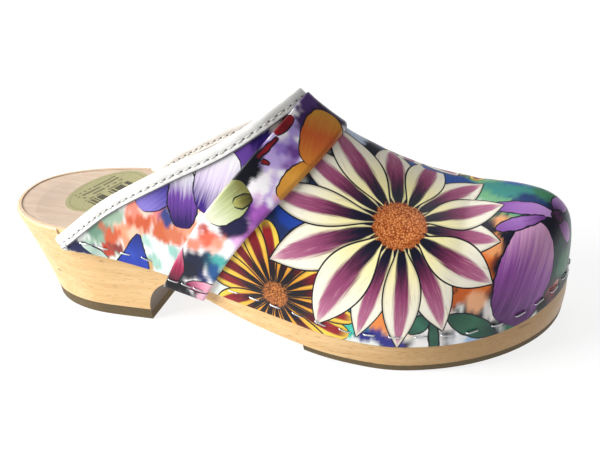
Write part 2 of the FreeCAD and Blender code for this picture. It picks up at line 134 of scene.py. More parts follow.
def height_curve(points):
    """Height as a smooth function of x through the given points, straight beyond its ends."""
    xs, zs = np.array(points, float).T
    slopes = np.gradient(zs)
    slopes[1:-1] = (zs[2:] - zs[:-2]) / (xs[2:] - xs[:-2])
    slopes[0] = (zs[1] - zs[0]) / (xs[1] - xs[0])
    slopes[-1] = (zs[-1] - zs[-2]) / (xs[-1] - xs[-2])

    def height(x):
        x = np.asarray(x, float)
        i = np.clip(np.searchsorted(xs, x, side="right") - 1, 0, len(xs) - 2)
        span = xs[i + 1] - xs[i]
        t = np.clip((x - xs[i]) / span, 0, 1)
        rise = zs[i + 1] - zs[i]
        bend = (span * slopes[i] - rise) * (1 - t) + (rise - span * slopes[i + 1]) * t
        z = zs[i] + t * rise + t * (1 - t) * bend
        z = z + slopes[0] * np.minimum(x - xs[0], 0)
        return z + slopes[-1] * np.maximum(x - xs[-1], 0)

    return height


feather_z = height_curve(FEATHER)
crown_z = height_curve(CROWN)
topline_z = height_curve(TOPLINE)
strap_rear_z = height_curve(STRAP_REAR)
strap_front_z = height_curve(STRAP_FRONT)


def edge_y(x, side, grow):
    """Y of the sole's plan outline at x on one side, with the outline grown by some mm."""
    outer = np.asarray(side) < 0
    heel_half = np.where(outer, HEEL_HALF[LATERAL], HEEL_HALF[MEDIAL])
    ball_half = np.where(outer, BALL_HALF[LATERAL], BALL_HALF[MEDIAL])
    start = np.where(outer, WAIST[LATERAL][0], WAIST[MEDIAL][0])
    end = np.where(outer, WAIST[LATERAL][1], WAIST[MEDIAL][1])
    half = heel_half + (ball_half - heel_half) * smooth_step(x, start, end)
    heel = np.clip((HEEL_END - x) / HEEL_END, 0, 1)
    toe = np.clip((x - BALL) / (SOLE_LENGTH + grow - BALL), 0, 1)
    centre = np.where(x > BALL, TOE_CENTRE_Y, 0.0)
    roundness = (1 - heel ** 2.2) ** (1 / 2.2) * np.sqrt(1 - toe * toe)
    return centre + side * (half + grow - side * centre) * roundness


def crown_y(x):
    return CROWN_Y * smooth_step(x, 40, 120) + (TOE_CENTRE_Y - CROWN_Y) * smooth_step(x, 170, 240)


def arch_exponent(x):
    return 2.11 - 0.56 * smooth_step(x, 80, 150) + 0.87 * smooth_step(x, 150, 222)


def arch_top(x, grow):
    layer = PROUD - grow
    slope = (crown_z(x + 1) - crown_z(x - 1)) / 2
    behind = crown_z(x) - layer * np.sqrt(1 + np.minimum(slope * slope, 1.2))
    share = np.clip((x - TOE_CAP) / (SOLE_LENGTH + grow - TOE_CAP), 0, 1)
    cap = (1 - share ** 5.2) ** (1 / 5.2)
    base = feather_z(x)
    ahead = base + (crown_z(TOE_CAP) - layer - base) * cap
    return np.where(x <= TOE_CAP, behind, ahead)


def arch(x, turn, grow):
    """Point of the upper's form; turn runs from 0 at the lateral edge to pi at the medial edge."""
    x, turn, grow = np.broadcast_arrays(np.asarray(x, float), turn, grow)
    power = 2 / arch_exponent(x)
    out = np.abs(np.cos(turn)) ** power
    up = np.clip(np.sin(turn), 0, 1) ** power
    side = np.where(turn < math.pi / 2, LATERAL, MEDIAL)
    base = feather_z(x)
    reach = (edge_y(x, side, grow) - crown_y(x)) * (1 + SIDE_FULLNESS * 4 * up * (1 - up))
    return np.stack([x, crown_y(x) + reach * out, base + (arch_top(x, grow) - base) * up], -1)


def form_value(points, grow):
    """Zero on the upper's form, negative inside it."""
    x, y, z = points[..., 0], points[..., 1], points[..., 2]
    base = feather_z(x)
    up = np.clip((z - base) / np.maximum(arch_top(x, grow) - base, 0.1), 0, 3)
    middle = crown_y(x)
    side = np.where(y < middle, LATERAL, MEDIAL)
    reach = (edge_y(x, side, grow) - middle) * (1 + SIDE_FULLNESS * 4 * up * (1 - up))
    out = (y - middle) / np.where(np.abs(reach) < 0.1, 0.1 * side, reach)
    exponent = arch_exponent(x)
    return np.abs(out) ** exponent + up ** exponent - 1


def form_gradient(points, grow):
    step = 0.05
    columns = []
    for axis in range(3):
        shift = np.zeros(3)
        shift[axis] = step
        change = form_value(points + shift, grow) - form_value(points - shift, grow)
        columns.append(change / (2 * step))
    return np.stack(columns, -1)


def unit(vectors):
    return vectors / np.maximum(np.linalg.norm(vectors, axis=-1, keepdims=True), 1e-9)


def form_normal(points, grow=PROUD):
    return unit(form_gradient(points, grow))


def onto_form(points, grow):
    """The nearest points of the form, by a few Newton steps."""
    points = np.array(points, float)
    for _ in range(6):
        gradient = form_gradient(points, grow)
        value = form_value(points, grow)[..., None]
        step = value * gradient / np.maximum((gradient ** 2).sum(-1, keepdims=True), 1e-8)
        length = np.linalg.norm(step, axis=-1, keepdims=True)
        points = points - step * np.minimum(1, 3.0 / np.maximum(length, 1e-9))
    return points


def bisect(function, low, high):
    """Where an increasing function of arrays crosses zero."""
    low, high = np.array(low, float), np.array(high, float)
    for _ in range(40):
        middle = (low + high) / 2
        above = function(middle) > 0
        high = np.where(above, middle, high)
        low = np.where(above, low, middle)
    return (low + high) / 2


def above_topline(x, turn):
    """How far a point of the upper's outer face lies above the topline's cut."""
    point = arch(x, turn, PROUD)
    return point[..., 2] - topline_z(x) - TOPLINE_SKEW * point[..., 1]


def topline_turn(x, side):
    """Turn, counted up from the side's own edge, where the topline trims the form."""
    def height(turn):
        return above_topline(x, turn if side == LATERAL else math.pi - turn)
    return bisect(height, np.full(np.shape(x), 0.02), np.full(np.shape(x), math.pi / 2))


def topline_peak():
    """x where the topline crosses the crown."""
    def depth(x):
        return -above_topline(x, math.pi / 2)
    return float(bisect(depth, 120.0, 170.0))


# ---------------------------------------------------------------- mesh helpers
WELD = 2e-6
TAPE_MAP = "tape"


def face_outward(mesh):
    """Weld the points that lie together and make all the faces look outwards."""
    work = bmesh.new()
    work.from_mesh(mesh)
    bmesh.ops.remove_doubles(work, verts=work.verts, dist=WELD)
    bmesh.ops.recalc_face_normals(work, faces=work.faces)
    work.to_mesh(mesh)
    work.free()


def lay_out(mesh, pairs):
    """Keep a pair of numbers for every point as the mesh's UV map."""
    vertex = np.empty(len(mesh.loops), int)
    mesh.loops.foreach_get("vertex_index", vertex)
    layer = mesh.uv_layers.new(name=TAPE_MAP)
    layer.data.foreach_set("uv", pairs[vertex].ravel().astype(np.float32))


def make_piece(name, points, faces, material, replaced, pairs=None):
    """A closed smooth mesh that rides on the clog's one body in place of a CAD node."""
    mesh = bpy.data.meshes.new(name)
    mesh.from_pydata(metres(points).tolist(), [], faces)
    mesh.validate()
    mesh.polygons.foreach_set("use_smooth", [True] * len(mesh.polygons))
    mesh.materials.append(material)
    if pairs is not None:
        lay_out(mesh, pairs)
    face_outward(mesh)
    piece = bpy.data.objects.new(name, mesh)
    bpy.context.scene.collection.objects.link(piece)
    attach(piece, "root")
    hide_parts(*replaced)
    return piece


def sweep(sections):
    """Points and quads of a tube through closed sections, with its two ends capped."""
    count = len(sections[0])
    points = np.concatenate(sections)
    faces = []
    for i in range(len(sections) - 1):
        for j in range(count):
            k = (j + 1) % count
            a, b = i * count, (i + 1) * count
            faces.append((a + j, a + k, b + k, b + j))
    faces.append(tuple(range(count - 1, -1, -1)))
    last = (len(sections) - 1) * count
    faces.append(tuple(range(last, last + count)))
    return points, faces


def join_parts(parts):
    """One point list and face list from several."""
    points, faces, start = [], [], 0
    for part_points, part_faces in parts:
        points.append(np.asarray(part_points))
        for face in part_faces:
            faces.append(tuple(index + start for index in face))
        start += len(part_points)
    return np.concatenate(points), faces


def wire_tube(path, radius, across, sides=10):
    """A round wire along a path that lies in the plane whose normal is `across`."""
    path = np.array(path, float)
    tangents = unit(np.gradient(path, axis=0))
    across = unit(np.array(across, float))
    sections = []
    for point, tangent in zip(path, tangents):
        outward = np.cross(tangent, across)
        ring = []
        for k in range(sides):
            angle = 2 * math.pi * k / sides
            ring.append(point + radius * (math.cos(angle) * across + math.sin(angle) * outward))
        sections.append(np.array(ring))
    return sweep(sections)


# ---------------------------------------------------------------- shader helpers
def rgb(code):
    """Linear colour of a six-digit sRGB code."""
    values = []
    for i in (0, 2, 4):
        share = int(code[i:i + 2], 16) / 255
        values.append(share / 12.92 if share <= 0.04045 else ((share + 0.055) / 1.055) ** 2.4)
    return (*values, 1.0)


class Wire:
    """A shader socket that arithmetic can be written with."""

    def __init__(self, net, socket):
        self.net = net
        self.socket = socket

    def __add__(self, other):
        return self.net.math("ADD", self, other)

    def __sub__(self, other):
        return self.net.math("SUBTRACT", self, other)

    def __rsub__(self, other):
        return self.net.math("SUBTRACT", other, self)

    def __mul__(self, other):
        return self.net.math("MULTIPLY", self, other)

    def __truediv__(self, other):
        return self.net.math("DIVIDE", self, other)

    def __pow__(self, other):
        return self.net.math("POWER", self, other)

    def __abs__(self):
        return self.net.math("ABSOLUTE", self)

    def dot(self, vector):
        return self.net.vector("DOT_PRODUCT", self, tuple(vector))

    __radd__ = __add__
    __rmul__ = __mul__


class Net:
    """A material under construction."""

    def __init__(self, name):
        self.material = bpy.data.materials.new(name)
        self.material.use_nodes = True
        self.tree = self.material.node_tree
        self.shader = self.tree.nodes["Principled BSDF"]

    def node(self, kind, **settings):
        made = self.tree.nodes.new(kind)
        for key, value in settings.items():
            setattr(made, key, value)
        return made

    def feed(self, socket, value):
        if isinstance(value, Wire):
            self.tree.links.new(value.socket, socket)
        else:
            socket.default_value = value

    def build(self, kind, inputs, output=0, **settings):
        """One output of a new node whose inputs are fed by name or by number."""
        made = self.node(kind, **settings)
        for key, value in inputs.items():
            self.feed(made.inputs[key], value)
        return Wire(self, made.outputs[output])

    def math(self, operation, *values):
        return self.build("ShaderNodeMath", dict(enumerate(values)), operation=operation)

    def vector(self, operation, *values):
        inputs = dict(enumerate(values))
        if operation == "SCALE":
            inputs = {0: values[0], "Scale": values[1]}
        output = "Value" if operation in ("DOT_PRODUCT", "LENGTH") else "Vector"
        return self.build("ShaderNodeVectorMath", inputs, output, operation=operation)

    def combine(self, x, y, z):
        return self.build("ShaderNodeCombineXYZ", {0: x, 1: y, 2: z})

    def split(self, vector):
        made = self.node("ShaderNodeSeparateXYZ")
        self.feed(made.inputs[0], vector)
        return [Wire(self, made.outputs[i]) for i in range(3)]

    def smooth(self, value, low, high):
        """0 below `low`, 1 above `high`; the other way round when low > high."""
        inputs = {"Value": value, "From Min": low, "From Max": high}
        return self.build("ShaderNodeMapRange", inputs, interpolation_type="SMOOTHSTEP")

    def scaled(self, value, low, high):
        """The usual range of a noise value carried over to another range."""
        inputs = {"Value": value, "From Min": 0.3, "From Max": 0.7, "To Min": low, "To Max": high}
        return self.build("ShaderNodeMapRange", inputs)

    def within(self, value, half, soft=0.2):
        """1 where a value is less than `half` away from zero."""
        return self.smooth(abs(value), half, half - soft)

    def unit_range(self, value):
        """A value kept just inside 0 and 1, so that powers of it stay finite."""
        return self.math("MINIMUM", self.math("MAXIMUM", value, 0.0001), 0.9999)

    def mix(self, factor, below, above, kind="MIX"):
        inputs = {0: factor, 6: below, 7: above}
        return self.build("ShaderNodeMix", inputs, 2, data_type="RGBA", blend_type=kind)

    def stain(self, mask, below, code):
        """A colour laid over another where the mask is high."""
        return self.mix(mask, below, rgb(code))

    def mottle(self, value, dark, bright, low=0.35, high=0.7):
        """Two colours that follow a noise value."""
        return self.stain(self.smooth(value, low, high), rgb(dark), bright)

    def noise(self, vector, scale, detail=2.0, roughness=0.5, distortion=0.0):
        inputs = {"Vector": vector, "Scale": scale, "Detail": detail, "Roughness": roughness,
                  "Distortion": distortion}
        return self.build("ShaderNodeTexNoise", inputs)

    def voronoi(self, vector, scale, feature="F1", randomness=1.0):
        inputs = {"Vector": vector, "Scale": scale, "Randomness": randomness}
        return self.build("ShaderNodeTexVoronoi", inputs, "Distance", feature=feature)

    def white(self, value):
        """Three random numbers that belong to a value."""
        made = self.node("ShaderNodeTexWhiteNoise", noise_dimensions="1D")
        self.feed(made.inputs["W"], value)
        parts = self.node("ShaderNodeSeparateColor")
        self.tree.links.new(made.outputs["Color"], parts.inputs[0])
        return [Wire(self, parts.outputs[i]) for i in range(3)]

    def ramp(self, factor, stops):
        made = self.node("ShaderNodeValToRGB")
        elements = made.color_ramp.elements
        while len(elements) < len(stops):
            elements.new(1.0)
        for element, (place, code) in zip(elements, stops):
            element.position = place
            element.color = rgb(code)
        self.feed(made.inputs[0], factor)
        return Wire(self, made.outputs[0])

    def position(self):
        """Object position in build millimetres."""
        made = self.node("ShaderNodeTexCoord")
        point = Wire(self, made.outputs["Object"])
        return self.vector("MULTIPLY_ADD", point, (1000,) * 3, tuple(-SHIFT))

    def attribute(self, name):
        return self.build("ShaderNodeAttribute", {}, "Color", attribute_name=name)

    def bump(self, height, strength, distance):
        inputs = {"Strength": strength, "Distance": distance, "Height": height}
        self.feed(self.shader.inputs["Normal"], self.build("ShaderNodeBump", inputs))

    def finish(self, colour, roughness, **settings):
        self.feed(self.shader.inputs["Base Color"], colour)
        self.feed(self.shader.inputs["Roughness"], roughness)
        for name, value in settings.items():
            self.feed(self.shader.inputs[name.replace("_", " ")], value)
        return self.material


# ---------------------------------------------------------------- places along the clog's edge
def edge_walk(grow):
    """Fine points round the plan outline from the heel's back, and the distance to each."""
    spread = (1 - np.cos(np.linspace(0, math.pi, 1500))) / 2
    xs = -grow + (SOLE_LENGTH + 2 * grow) * spread
    heel = np.clip((HEEL_END - xs) / (HEEL_END + grow), 0, 1)
    plain = np.clip((HEEL_END - xs) / HEEL_END, 0, 1)
    trim = ((1 - heel ** 2.2) / np.maximum(1 - plain ** 2.2, 1e-6)) ** (1 / 2.2)
    rows = []
    for side in (LATERAL, MEDIAL):
        ys = edge_y(xs, side, grow) * np.where(xs < HEEL_END, np.minimum(trim, 30), 1)
        rows.append(np.stack([xs, ys], 1))
    walk = np.concatenate([rows[0], rows[1][-2:0:-1]])
    steps = np.linalg.norm(np.diff(walk, axis=0), axis=1)
    return walk, np.concatenate([[0], np.cumsum(steps)])


def staple_places():
    """Centre, direction along the edge and outward direction of each staple of the upper."""
    walk, travelled = edge_walk(PROUD + 0.1)
    places = []
    for distance in np.arange(STAPLE_START, travelled[-1], STAPLE_PITCH):
        x, y = (float(np.interp(distance, travelled, row)) for row in walk.T)
        if x < FIRST_STAPLE_X or STRAP_SPAN[0] < x < STRAP_SPAN[1]:
            continue
        ahead_x, ahead_y = (float(np.interp(distance + 0.5, travelled, row)) for row in walk.T)
        ahead_x, ahead_y = ahead_x - x, ahead_y - y
        slope = float(feather_z(x + 0.5) - feather_z(x - 0.5))
        centre = onto_form(np.array([[x, y, float(feather_z(x)) + STAPLE_RISE]]), PROUD + 0.1)[0]
        outward = unit(np.array([ahead_y, -ahead_x, 0.0]))
        along = unit(np.array([ahead_x, ahead_y, slope * ahead_x]))
        places.append((centre, along, outward))
    return places


def strap_staple_places():
    """The same for the staples through the strap's two ends."""
    places = []
    for side in (LATERAL, MEDIAL):
        for x in STRAP_STAPLES_X:
            y = float(edge_y(x, side, PROUD + STRAP))
            centre = np.array([x, y, float(feather_z(x)) + STRAP_STAPLE_RISE])
            slope = float(feather_z(x + 1) - feather_z(x - 1)) / 2
            places.append((centre, unit(np.array([1.0, 0.0, slope])), np.array([0.0, side, 0.0])))
    return places


STAPLES = staple_places()
STRAP_STAPLES = strap_staple_places()


def staple_wire(centre, along, outward, sink):
    """Round staple wire with bent shoulders, lying on the surface with its legs driven in."""
    half = STAPLE_CROWN / 2 - STAPLE_WIRE / 2
    bend = STAPLE_BEND
    lift = STAPLE_LIFT - sink
    left = [(-half, lift - STAPLE_LEG), (-half, lift - bend * 2)]
    for angle in np.radians(np.linspace(0, 90, 6)):
        left.append((-half + bend * (1 - math.cos(angle)), lift - bend + bend * math.sin(angle)))
    crown = []
    for share in np.arange(1, 6) / 6:
        crown.append(((half - bend) * (2 * share - 1), lift + 0.05 * math.sin(math.pi * share)))
    right = [(-a, height) for a, height in reversed(left)]
    line = [centre + along * a + outward * height for a, height in left + crown + right]
    return wire_tube(line, STAPLE_WIRE / 2, np.cross(along, outward))


def staples_piece(name, places, material, replaced, wobble, sink):
    """One piece of many staples, each turned a little and sunk by `sink` mm."""
    parts = []
    for centre, along, outward in places:
        tilt = math.radians(rng.normal(0, wobble))
        across = np.cross(outward, along)
        turned = unit(along * math.cos(tilt) + across * math.sin(tilt))
        shifted = centre + across * rng.normal(0, 0.25) + along * rng.normal(0, 0.3)
        parts.append(staple_wire(shifted, turned, outward, sink))
    points, faces = join_parts(parts)
    make_piece(name, points, faces, material, [replaced])


# ---------------------------------------------------------------- the printed leather upper
ROWS = 46
REAR_COLUMNS = 124
MIDDLE_COLUMNS = 48
TOE_COLUMNS = 76
DENT = 0.34
DENT_REACH = 14.0


def upper_stations():
    """x of the upper's columns, close together where it bends most, and the index of the throat."""
    peak = topline_peak()
    rear = peak - (peak - UPPER_START) * (1 - np.linspace(0, 1, REAR_COLUMNS + 1)) ** 1.55
    middle = np.linspace(peak, BALL, MIDDLE_COLUMNS + 1)[1:]
    sweep_angle = np.linspace(0, math.radians(88.6), TOE_COLUMNS + 1)[1:]
    toe = BALL + (SOLE_LENGTH + PROUD - BALL) * np.sin(sweep_angle)
    return np.concatenate([rear, middle, toe]), REAR_COLUMNS


def soft_noise(points, size, seed):
    """Smooth noise between about -0.5 and 0.5 at each point."""
    shift = Vector((seed, -seed, seed * 0.5))
    values = [noise.noise(Vector(point) / size + shift) for point in points.reshape(-1, 3)]
    return np.array(values).reshape(points.shape[:-1])


def staple_dents(points):
    """How deep the leather is drawn in by the staples at each point."""
    depth = np.zeros(points.shape[:-1])
    for centre, along, outward in STAPLES:
        offset = points - centre
        reach = np.linalg.norm(offset, axis=-1)
        a = np.maximum(np.abs(offset @ along) - STAPLE_CROWN * 0.42, 0)
        b = offset @ np.cross(outward, along)
        dent = np.exp(-(a * a + b * b) / 2.6) + np.exp(-reach * reach / 30.0)
        depth += (reach < DENT_REACH) * DENT * dent
    return depth


def upper_side(xs, peak_index, side):
    """Outer and inner grids of points of one half of the upper, with rows from its edge upwards."""
    turns = topline_turn(xs, side)
    turns[peak_index:] = math.pi / 2
    share = np.linspace(0, 1, ROWS + 1)
    share = 0.72 * share + 0.28 * share ** 2
    turn = turns[:, None] * share[None, :]
    if side == MEDIAL:
        turn = math.pi - turn
    columns = np.broadcast_to(xs[:, None], turn.shape)
    outer = arch(columns, turn, PROUD)
    inner = arch(columns, turn, PROUD - LEATHER)
    outer[:, 1:, 2] = np.maximum(outer[:, 1:, 2], outer[:, :1, 2] + 0.55)
    normal = form_normal(outer)
    wave = 0.30 * soft_noise(outer, 26.0, 3.1) + 0.10 * soft_noise(outer, 9.0, 7.7)
    fade = smooth_step(outer[..., 2] - feather_z(outer[..., 0]), 0.5, 7.0)
    outer = outer + normal * (wave * fade - staple_dents(outer))[..., None]
    lip = []
    for grow, rise in ((PROUD - 0.55, 0.0), (PROUD - 0.16, 0.12)):
        row = arch(xs, 0.0 if side == LATERAL else math.pi, grow)
        row[:, 2] += rise
        lip.append(row[:, None, :])
    outer = np.concatenate(lip + [outer], axis=1)
    outer[:, 2, 2] = np.maximum(outer[:, 2, 2], outer[:, 1, 2] + 0.3)
    return outer, inner


def grid_faces(start, columns, rows):
    """Quads of a grid whose points are stored column by column from index `start`."""
    faces = []
    for i in range(columns - 1):
        for j in range(rows - 1):
            a = start + i * rows + j
            faces.append((a, a + rows, a + rows + 1, a + 1))
    return faces


def bridge(first, second):
    """Quads between two index rows of equal length."""
    return [(first[k], first[k + 1], second[k + 1], second[k]) for k in range(len(first) - 1)]


def upper_half(xs, peak_index, side):
    """Points and faces of half the leather, and the index rows of its outer and inner tip."""
    outer, inner = upper_side(xs, peak_index, side)
    count = len(xs)
    out = np.arange(count * outer.shape[1]).reshape(count, -1)
    inn = out.size + np.arange(count * inner.shape[1]).reshape(count, -1)
    faces = grid_faces(0, *out.shape) + grid_faces(out.size, *inn.shape)
    faces += bridge(out[:, 0].tolist(), inn[:, 0].tolist())
    top = slice(peak_index + 1)
    faces += bridge(out[top, -1].tolist(), inn[top, -1].tolist())
    rear_out = out[0].tolist()
    rear_in = [inn[0, 0].item()] * 2 + inn[0].tolist()
    for quad in bridge(rear_out, rear_in):
        faces.append(tuple(dict.fromkeys(quad)))
    points = np.concatenate([outer.reshape(-1, 3), inner.reshape(-1, 3)])
    return points, faces, (out[-1].tolist(), inn[-1].tolist())


def printed_upper(material):
    """Two half shells of leather, joined where they meet at the tip of the toe."""
    xs, peak_index = upper_stations()
    lateral, medial = (upper_half(xs, peak_index, side) for side in (LATERAL, MEDIAL))
    points, faces = join_parts([lateral[:2], medial[:2]])
    start = len(lateral[0])
    lateral_tip = lateral[2]
    medial_tip = [[index + start for index in row] for row in medial[2]]
    for row in range(2):
        faces += bridge(lateral_tip[row], medial_tip[row])
    faces.append((lateral_tip[0][0], lateral_tip[1][0], medial_tip[1][0], medial_tip[0][0]))
    return make_piece("printed_upper", points, faces, material, ["vamp_upper"])


# ---------------------------------------------------------------- the folded instep strap
STRAP_ROWS = 200
TAIL_ROWS = 5
END_THINNING = 0.70


def strap_x(curve, turn, drop):
    """x at each turn where the strap's edge line lies `drop` mm below its outer face."""
    def height(x):
        return curve(x) - arch(x, turn, PROUD + STRAP)[..., 2] + drop
    return bisect(height, np.full(np.shape(turn), 80.0), np.full(np.shape(turn), 186.0))


def strap_fold(edge, first, last):
    """The half round of one folded edge: its name, mm in from it and layer above the upper."""
    radius = STRAP / 2
    loop = []
    for angle in np.radians(np.linspace(first, last, 7)):
        loop.append((edge, radius * (1 - math.cos(angle)), radius * (1 + math.sin(angle))))
    return loop


def strap_section():
    """Closed loop of the folded strip; its flat parts give a share of the width in place of mm."""
    shares = np.linspace(0.09, 0.91, 24)
    over = [("flat", share, STRAP + 0.10 * math.sin(math.pi * share)) for share in shares]
    under = [("flat", share, 0.0) for share in (0.75, 0.5, 0.25)]
    return strap_fold("rear", -90, 90) + over + strap_fold("front", 90, -90) + under


def strap_grid():
    """Points of the strap's sections from its lateral end over the instep to its medial end."""
    spread = np.linspace(0, math.pi, STRAP_ROWS + 1)
    turns = np.concatenate([np.zeros(TAIL_ROWS), spread, np.full(TAIL_ROWS, math.pi)])
    tail = np.linspace(STRAP_TAIL, STRAP_TAIL / TAIL_ROWS, TAIL_ROWS)
    drops = np.concatenate([tail, np.zeros(STRAP_ROWS + 1), tail[::-1]])
    rear_x = strap_x(strap_rear_z, turns, drops)
    front_x = strap_x(strap_front_z, turns, drops)
    edges = [arch(x, turns, PROUD + STRAP) for x in (rear_x, front_x)]
    width = np.linalg.norm(edges[0] - edges[1], axis=1)
    columns = []
    for kind, amount, layer in strap_section():
        share = {"rear": amount / width, "flat": amount, "front": 1 - amount / width}[kind]
        points = arch(rear_x + (front_x - rear_x) * share, turns, PROUD + 0.03 + layer)
        points[:, 2] -= drops
        columns.append(points)
    grid = np.stack(columns, 1)
    for end in (0, -1):
        middle = grid[end, :, 1].mean()
        grid[end, :, 1] = middle + (grid[end, :, 1] - middle) * END_THINNING
    return grid


def instep_strap(material):
    points, faces = sweep(list(strap_grid()))
    normal = form_normal(points, PROUD + STRAP)
    wave = 0.22 * soft_noise(points, 20.0, 15.3)
    dents = np.zeros(len(points))
    for centre, _, _ in STRAP_STAPLES:
        reach = np.linalg.norm(points - centre, axis=1)
        dents += 0.35 * np.exp(-reach * reach / 9.0)
    lifted = np.linalg.norm(points - onto_form(points, PROUD), axis=1) > 0.9
    points = points + normal * ((wave - dents) * lifted)[:, None]
    return make_piece("folded_strap", points, faces, material, ["instep_strap"])


# ---------------------------------------------------------------- white binding and its stitches
def topline_path(spacing):
    """Evenly spaced points of the topline on the outer face, from one rear corner to the other."""
    peak = topline_peak()
    rows = []
    for side in (LATERAL, MEDIAL):
        xs = peak - (peak - CORNER_TOP) * np.linspace(1, 0, 160) ** 2
        turn = topline_turn(xs, side)
        turn[-1] = math.pi / 2
        real = turn if side == LATERAL else math.pi - turn
        rows.append(arch(xs, real, PROUD))
    line = np.concatenate([rows[0], rows[1][-2::-1]])
    travelled = np.concatenate([[0], np.cumsum(np.linalg.norm(np.diff(line, axis=0), axis=1))])
    count = int(travelled[-1] / spacing)
    marks = np.linspace(0, travelled[-1], count + 1)
    even = np.stack([np.interp(marks, travelled, line[:, axis]) for axis in range(3)], 1)
    for _ in range(3):
        even[1:-1] = (even[:-2] + 2 * even[1:-1] + even[2:]) / 4
    return onto_form(even, PROUD), marks


PATH, PATH_MARKS = topline_path(1.1)
PATH_ALONG = unit(np.gradient(PATH, axis=0))
PATH_OUT = form_normal(PATH)
PATH_DOWN = unit(np.cross(PATH_OUT, PATH_ALONG))
PATH_DOWN *= np.sign(-PATH_DOWN[len(PATH) // 4, 2])
OUTSIDE = PROUD + BINDING
INSIDE = PROUD - LEATHER - LINING - BINDING


def tape_section():
    """Closed loop of the folded tape: mm down from the topline and layer (grow of the form)."""
    middle = (OUTSIDE + INSIDE) / 2
    half = (OUTSIDE - INSIDE) / 2
    hem = BINDING_WIDTH
    seam = STITCH_DROP
    outer_face = [
        (hem, PROUD - 0.02), (hem + 0.02, PROUD + 0.35), (hem - 0.12, PROUD + 0.72),
        (hem - 0.45, OUTSIDE + 0.02), (hem - 0.9, OUTSIDE + 0.06), (seam + 0.55, OUTSIDE),
        (seam, OUTSIDE - 0.16), (seam - 0.55, OUTSIDE),
        (1.8, OUTSIDE + 0.10), (1.1, OUTSIDE + 0.08),
    ]
    fold = []
    for angle in math.pi * np.arange(1, 10) / 10:
        fold.append((0.5 - 1.75 * math.sin(angle), middle + half * math.cos(angle)))
    inner_face = [(drop, 2 * middle - layer) for drop, layer in reversed(outer_face)]
    inside, outside = PROUD - LEATHER - LINING + 0.02, PROUD - 0.02
    channel = [(hem * 0.5, inside), (0.4, inside), (0.4, outside), (hem * 0.5, outside)]
    return outer_face + fold + inner_face + channel


def tape_points(drop, layer):
    """The line that lies `drop` mm below the topline on one layer of the form."""
    points = PATH + PATH_DOWN * drop + PATH_OUT * (layer - PROUD)
    if drop > 0.6:
        points = onto_form(points, layer)
    floor = feather_z(points[..., 0]) + 0.05
    points[..., 2] = np.maximum(points[..., 2], floor)
    return points


def along_path(values, marks):
    """Values given at the path's points, read at other distances along it."""
    return np.stack([np.interp(marks, PATH_MARKS, values[:, axis]) for axis in range(3)], 1)


def topline_binding(material):
    loop = tape_section()
    columns = [tape_points(drop, layer) for drop, layer in loop]
    grid = np.stack(columns, 1)
    ripple = 0.12 * soft_noise(grid, 5.0, 21.0) + 0.10 * soft_noise(grid, 14.0, 5.0)
    facing = np.array([np.sign(layer - (OUTSIDE + INSIDE) / 2) for _, layer in loop])
    grid = grid + PATH_OUT[:, None, :] * (ripple * facing)[..., None]
    points, faces = sweep(list(grid))
    along = np.repeat(PATH_MARKS, len(loop)) / STITCH_PITCH
    down = np.tile([drop for drop, _ in loop], len(PATH))
    pairs = np.stack([along, down], 1)
    make_piece("folded_binding", points, faces, material, ["topline_binding"],
               pairs)


def stitches(material):
    """Short arched threads, outside and inside, that dive into the tape at both ends."""
    share = np.linspace(0, 1, 7)
    rise = -0.42 + 0.50 * np.sin(math.pi * share) ** 0.6
    parts = []
    for k in range(2, int(PATH_MARKS[-1] / STITCH_PITCH) - 1):
        marks = (k + 0.5 + (share - 0.5) * STITCH_SHARE) * STITCH_PITCH
        spot, out, down = (along_path(values, marks) for values in (PATH, PATH_OUT, PATH_DOWN))
        out, down = unit(out), unit(down)
        for layer, facing in ((OUTSIDE, 1), (INSIDE, -1)):
            line = onto_form(spot + down * STITCH_DROP + out * (layer - PROUD), layer)
            if (line[:, 2] < feather_z(line[:, 0]) + 1.2).any():
                continue
            line = line + out * (facing * rise)[:, None]
            across = np.cross(line[-1] - line[0], out[-1])
            parts.append(wire_tube(line, THREAD / 2, across, sides=6))
    points, faces = join_parts(parts)
    make_piece("binding_thread", points, faces, material, ["binding_stitches"])


def binding_end_places():
    """One upright staple near each rear corner, through the tape."""
    x = BINDING_STAPLE_X
    places = []
    for side in (LATERAL, MEDIAL):
        centre = np.array([x, float(edge_y(x, side, OUTSIDE)) * 0.995, float(feather_z(x)) + 3.0])
        places.append((centre, np.array([0.0, 0.0, 1.0]), np.array([0.0, side, 0.0])))
    return places


# ---------------------------------------------------------------- plain materials
# Knots: x, z, half length and half height.
KNOTS = ((247.0, 15.2, 2.6, 0.8), (96.0, 27.0, 1.6, 0.5), (30.0, 20.0, 1.8, 0.6))
FOOTBED_CENTRE = (60.0, -3.5)
FOOTBED_DEPTH = 8.0
LABEL_CENTRE = (44.0, 4.0, 0.0)
LABEL_TURN = math.radians(66)
LABEL_HALVES = (22.0, 17.0)


def rim_height(net, x):
    """Height of the rim line at x, read from a curve node."""
    start, end = RIM_LINE[0][0], RIM_LINE[-1][0]
    curve = net.node("ShaderNodeFloatCurve")
    mapping = curve.mapping.curves[0]
    while len(mapping.points) < len(RIM_LINE):
        mapping.points.new(0.5, 0.5)
    for spot, (rim_x, rim_z) in zip(mapping.points, RIM_LINE):
        spot.location = ((rim_x - start) / (end - start), rim_z / 100)
    curve.mapping.update()
    net.feed(curve.inputs["Value"], (x - start) / (end - start))
    return Wire(net, curve.outputs[0]) * 100


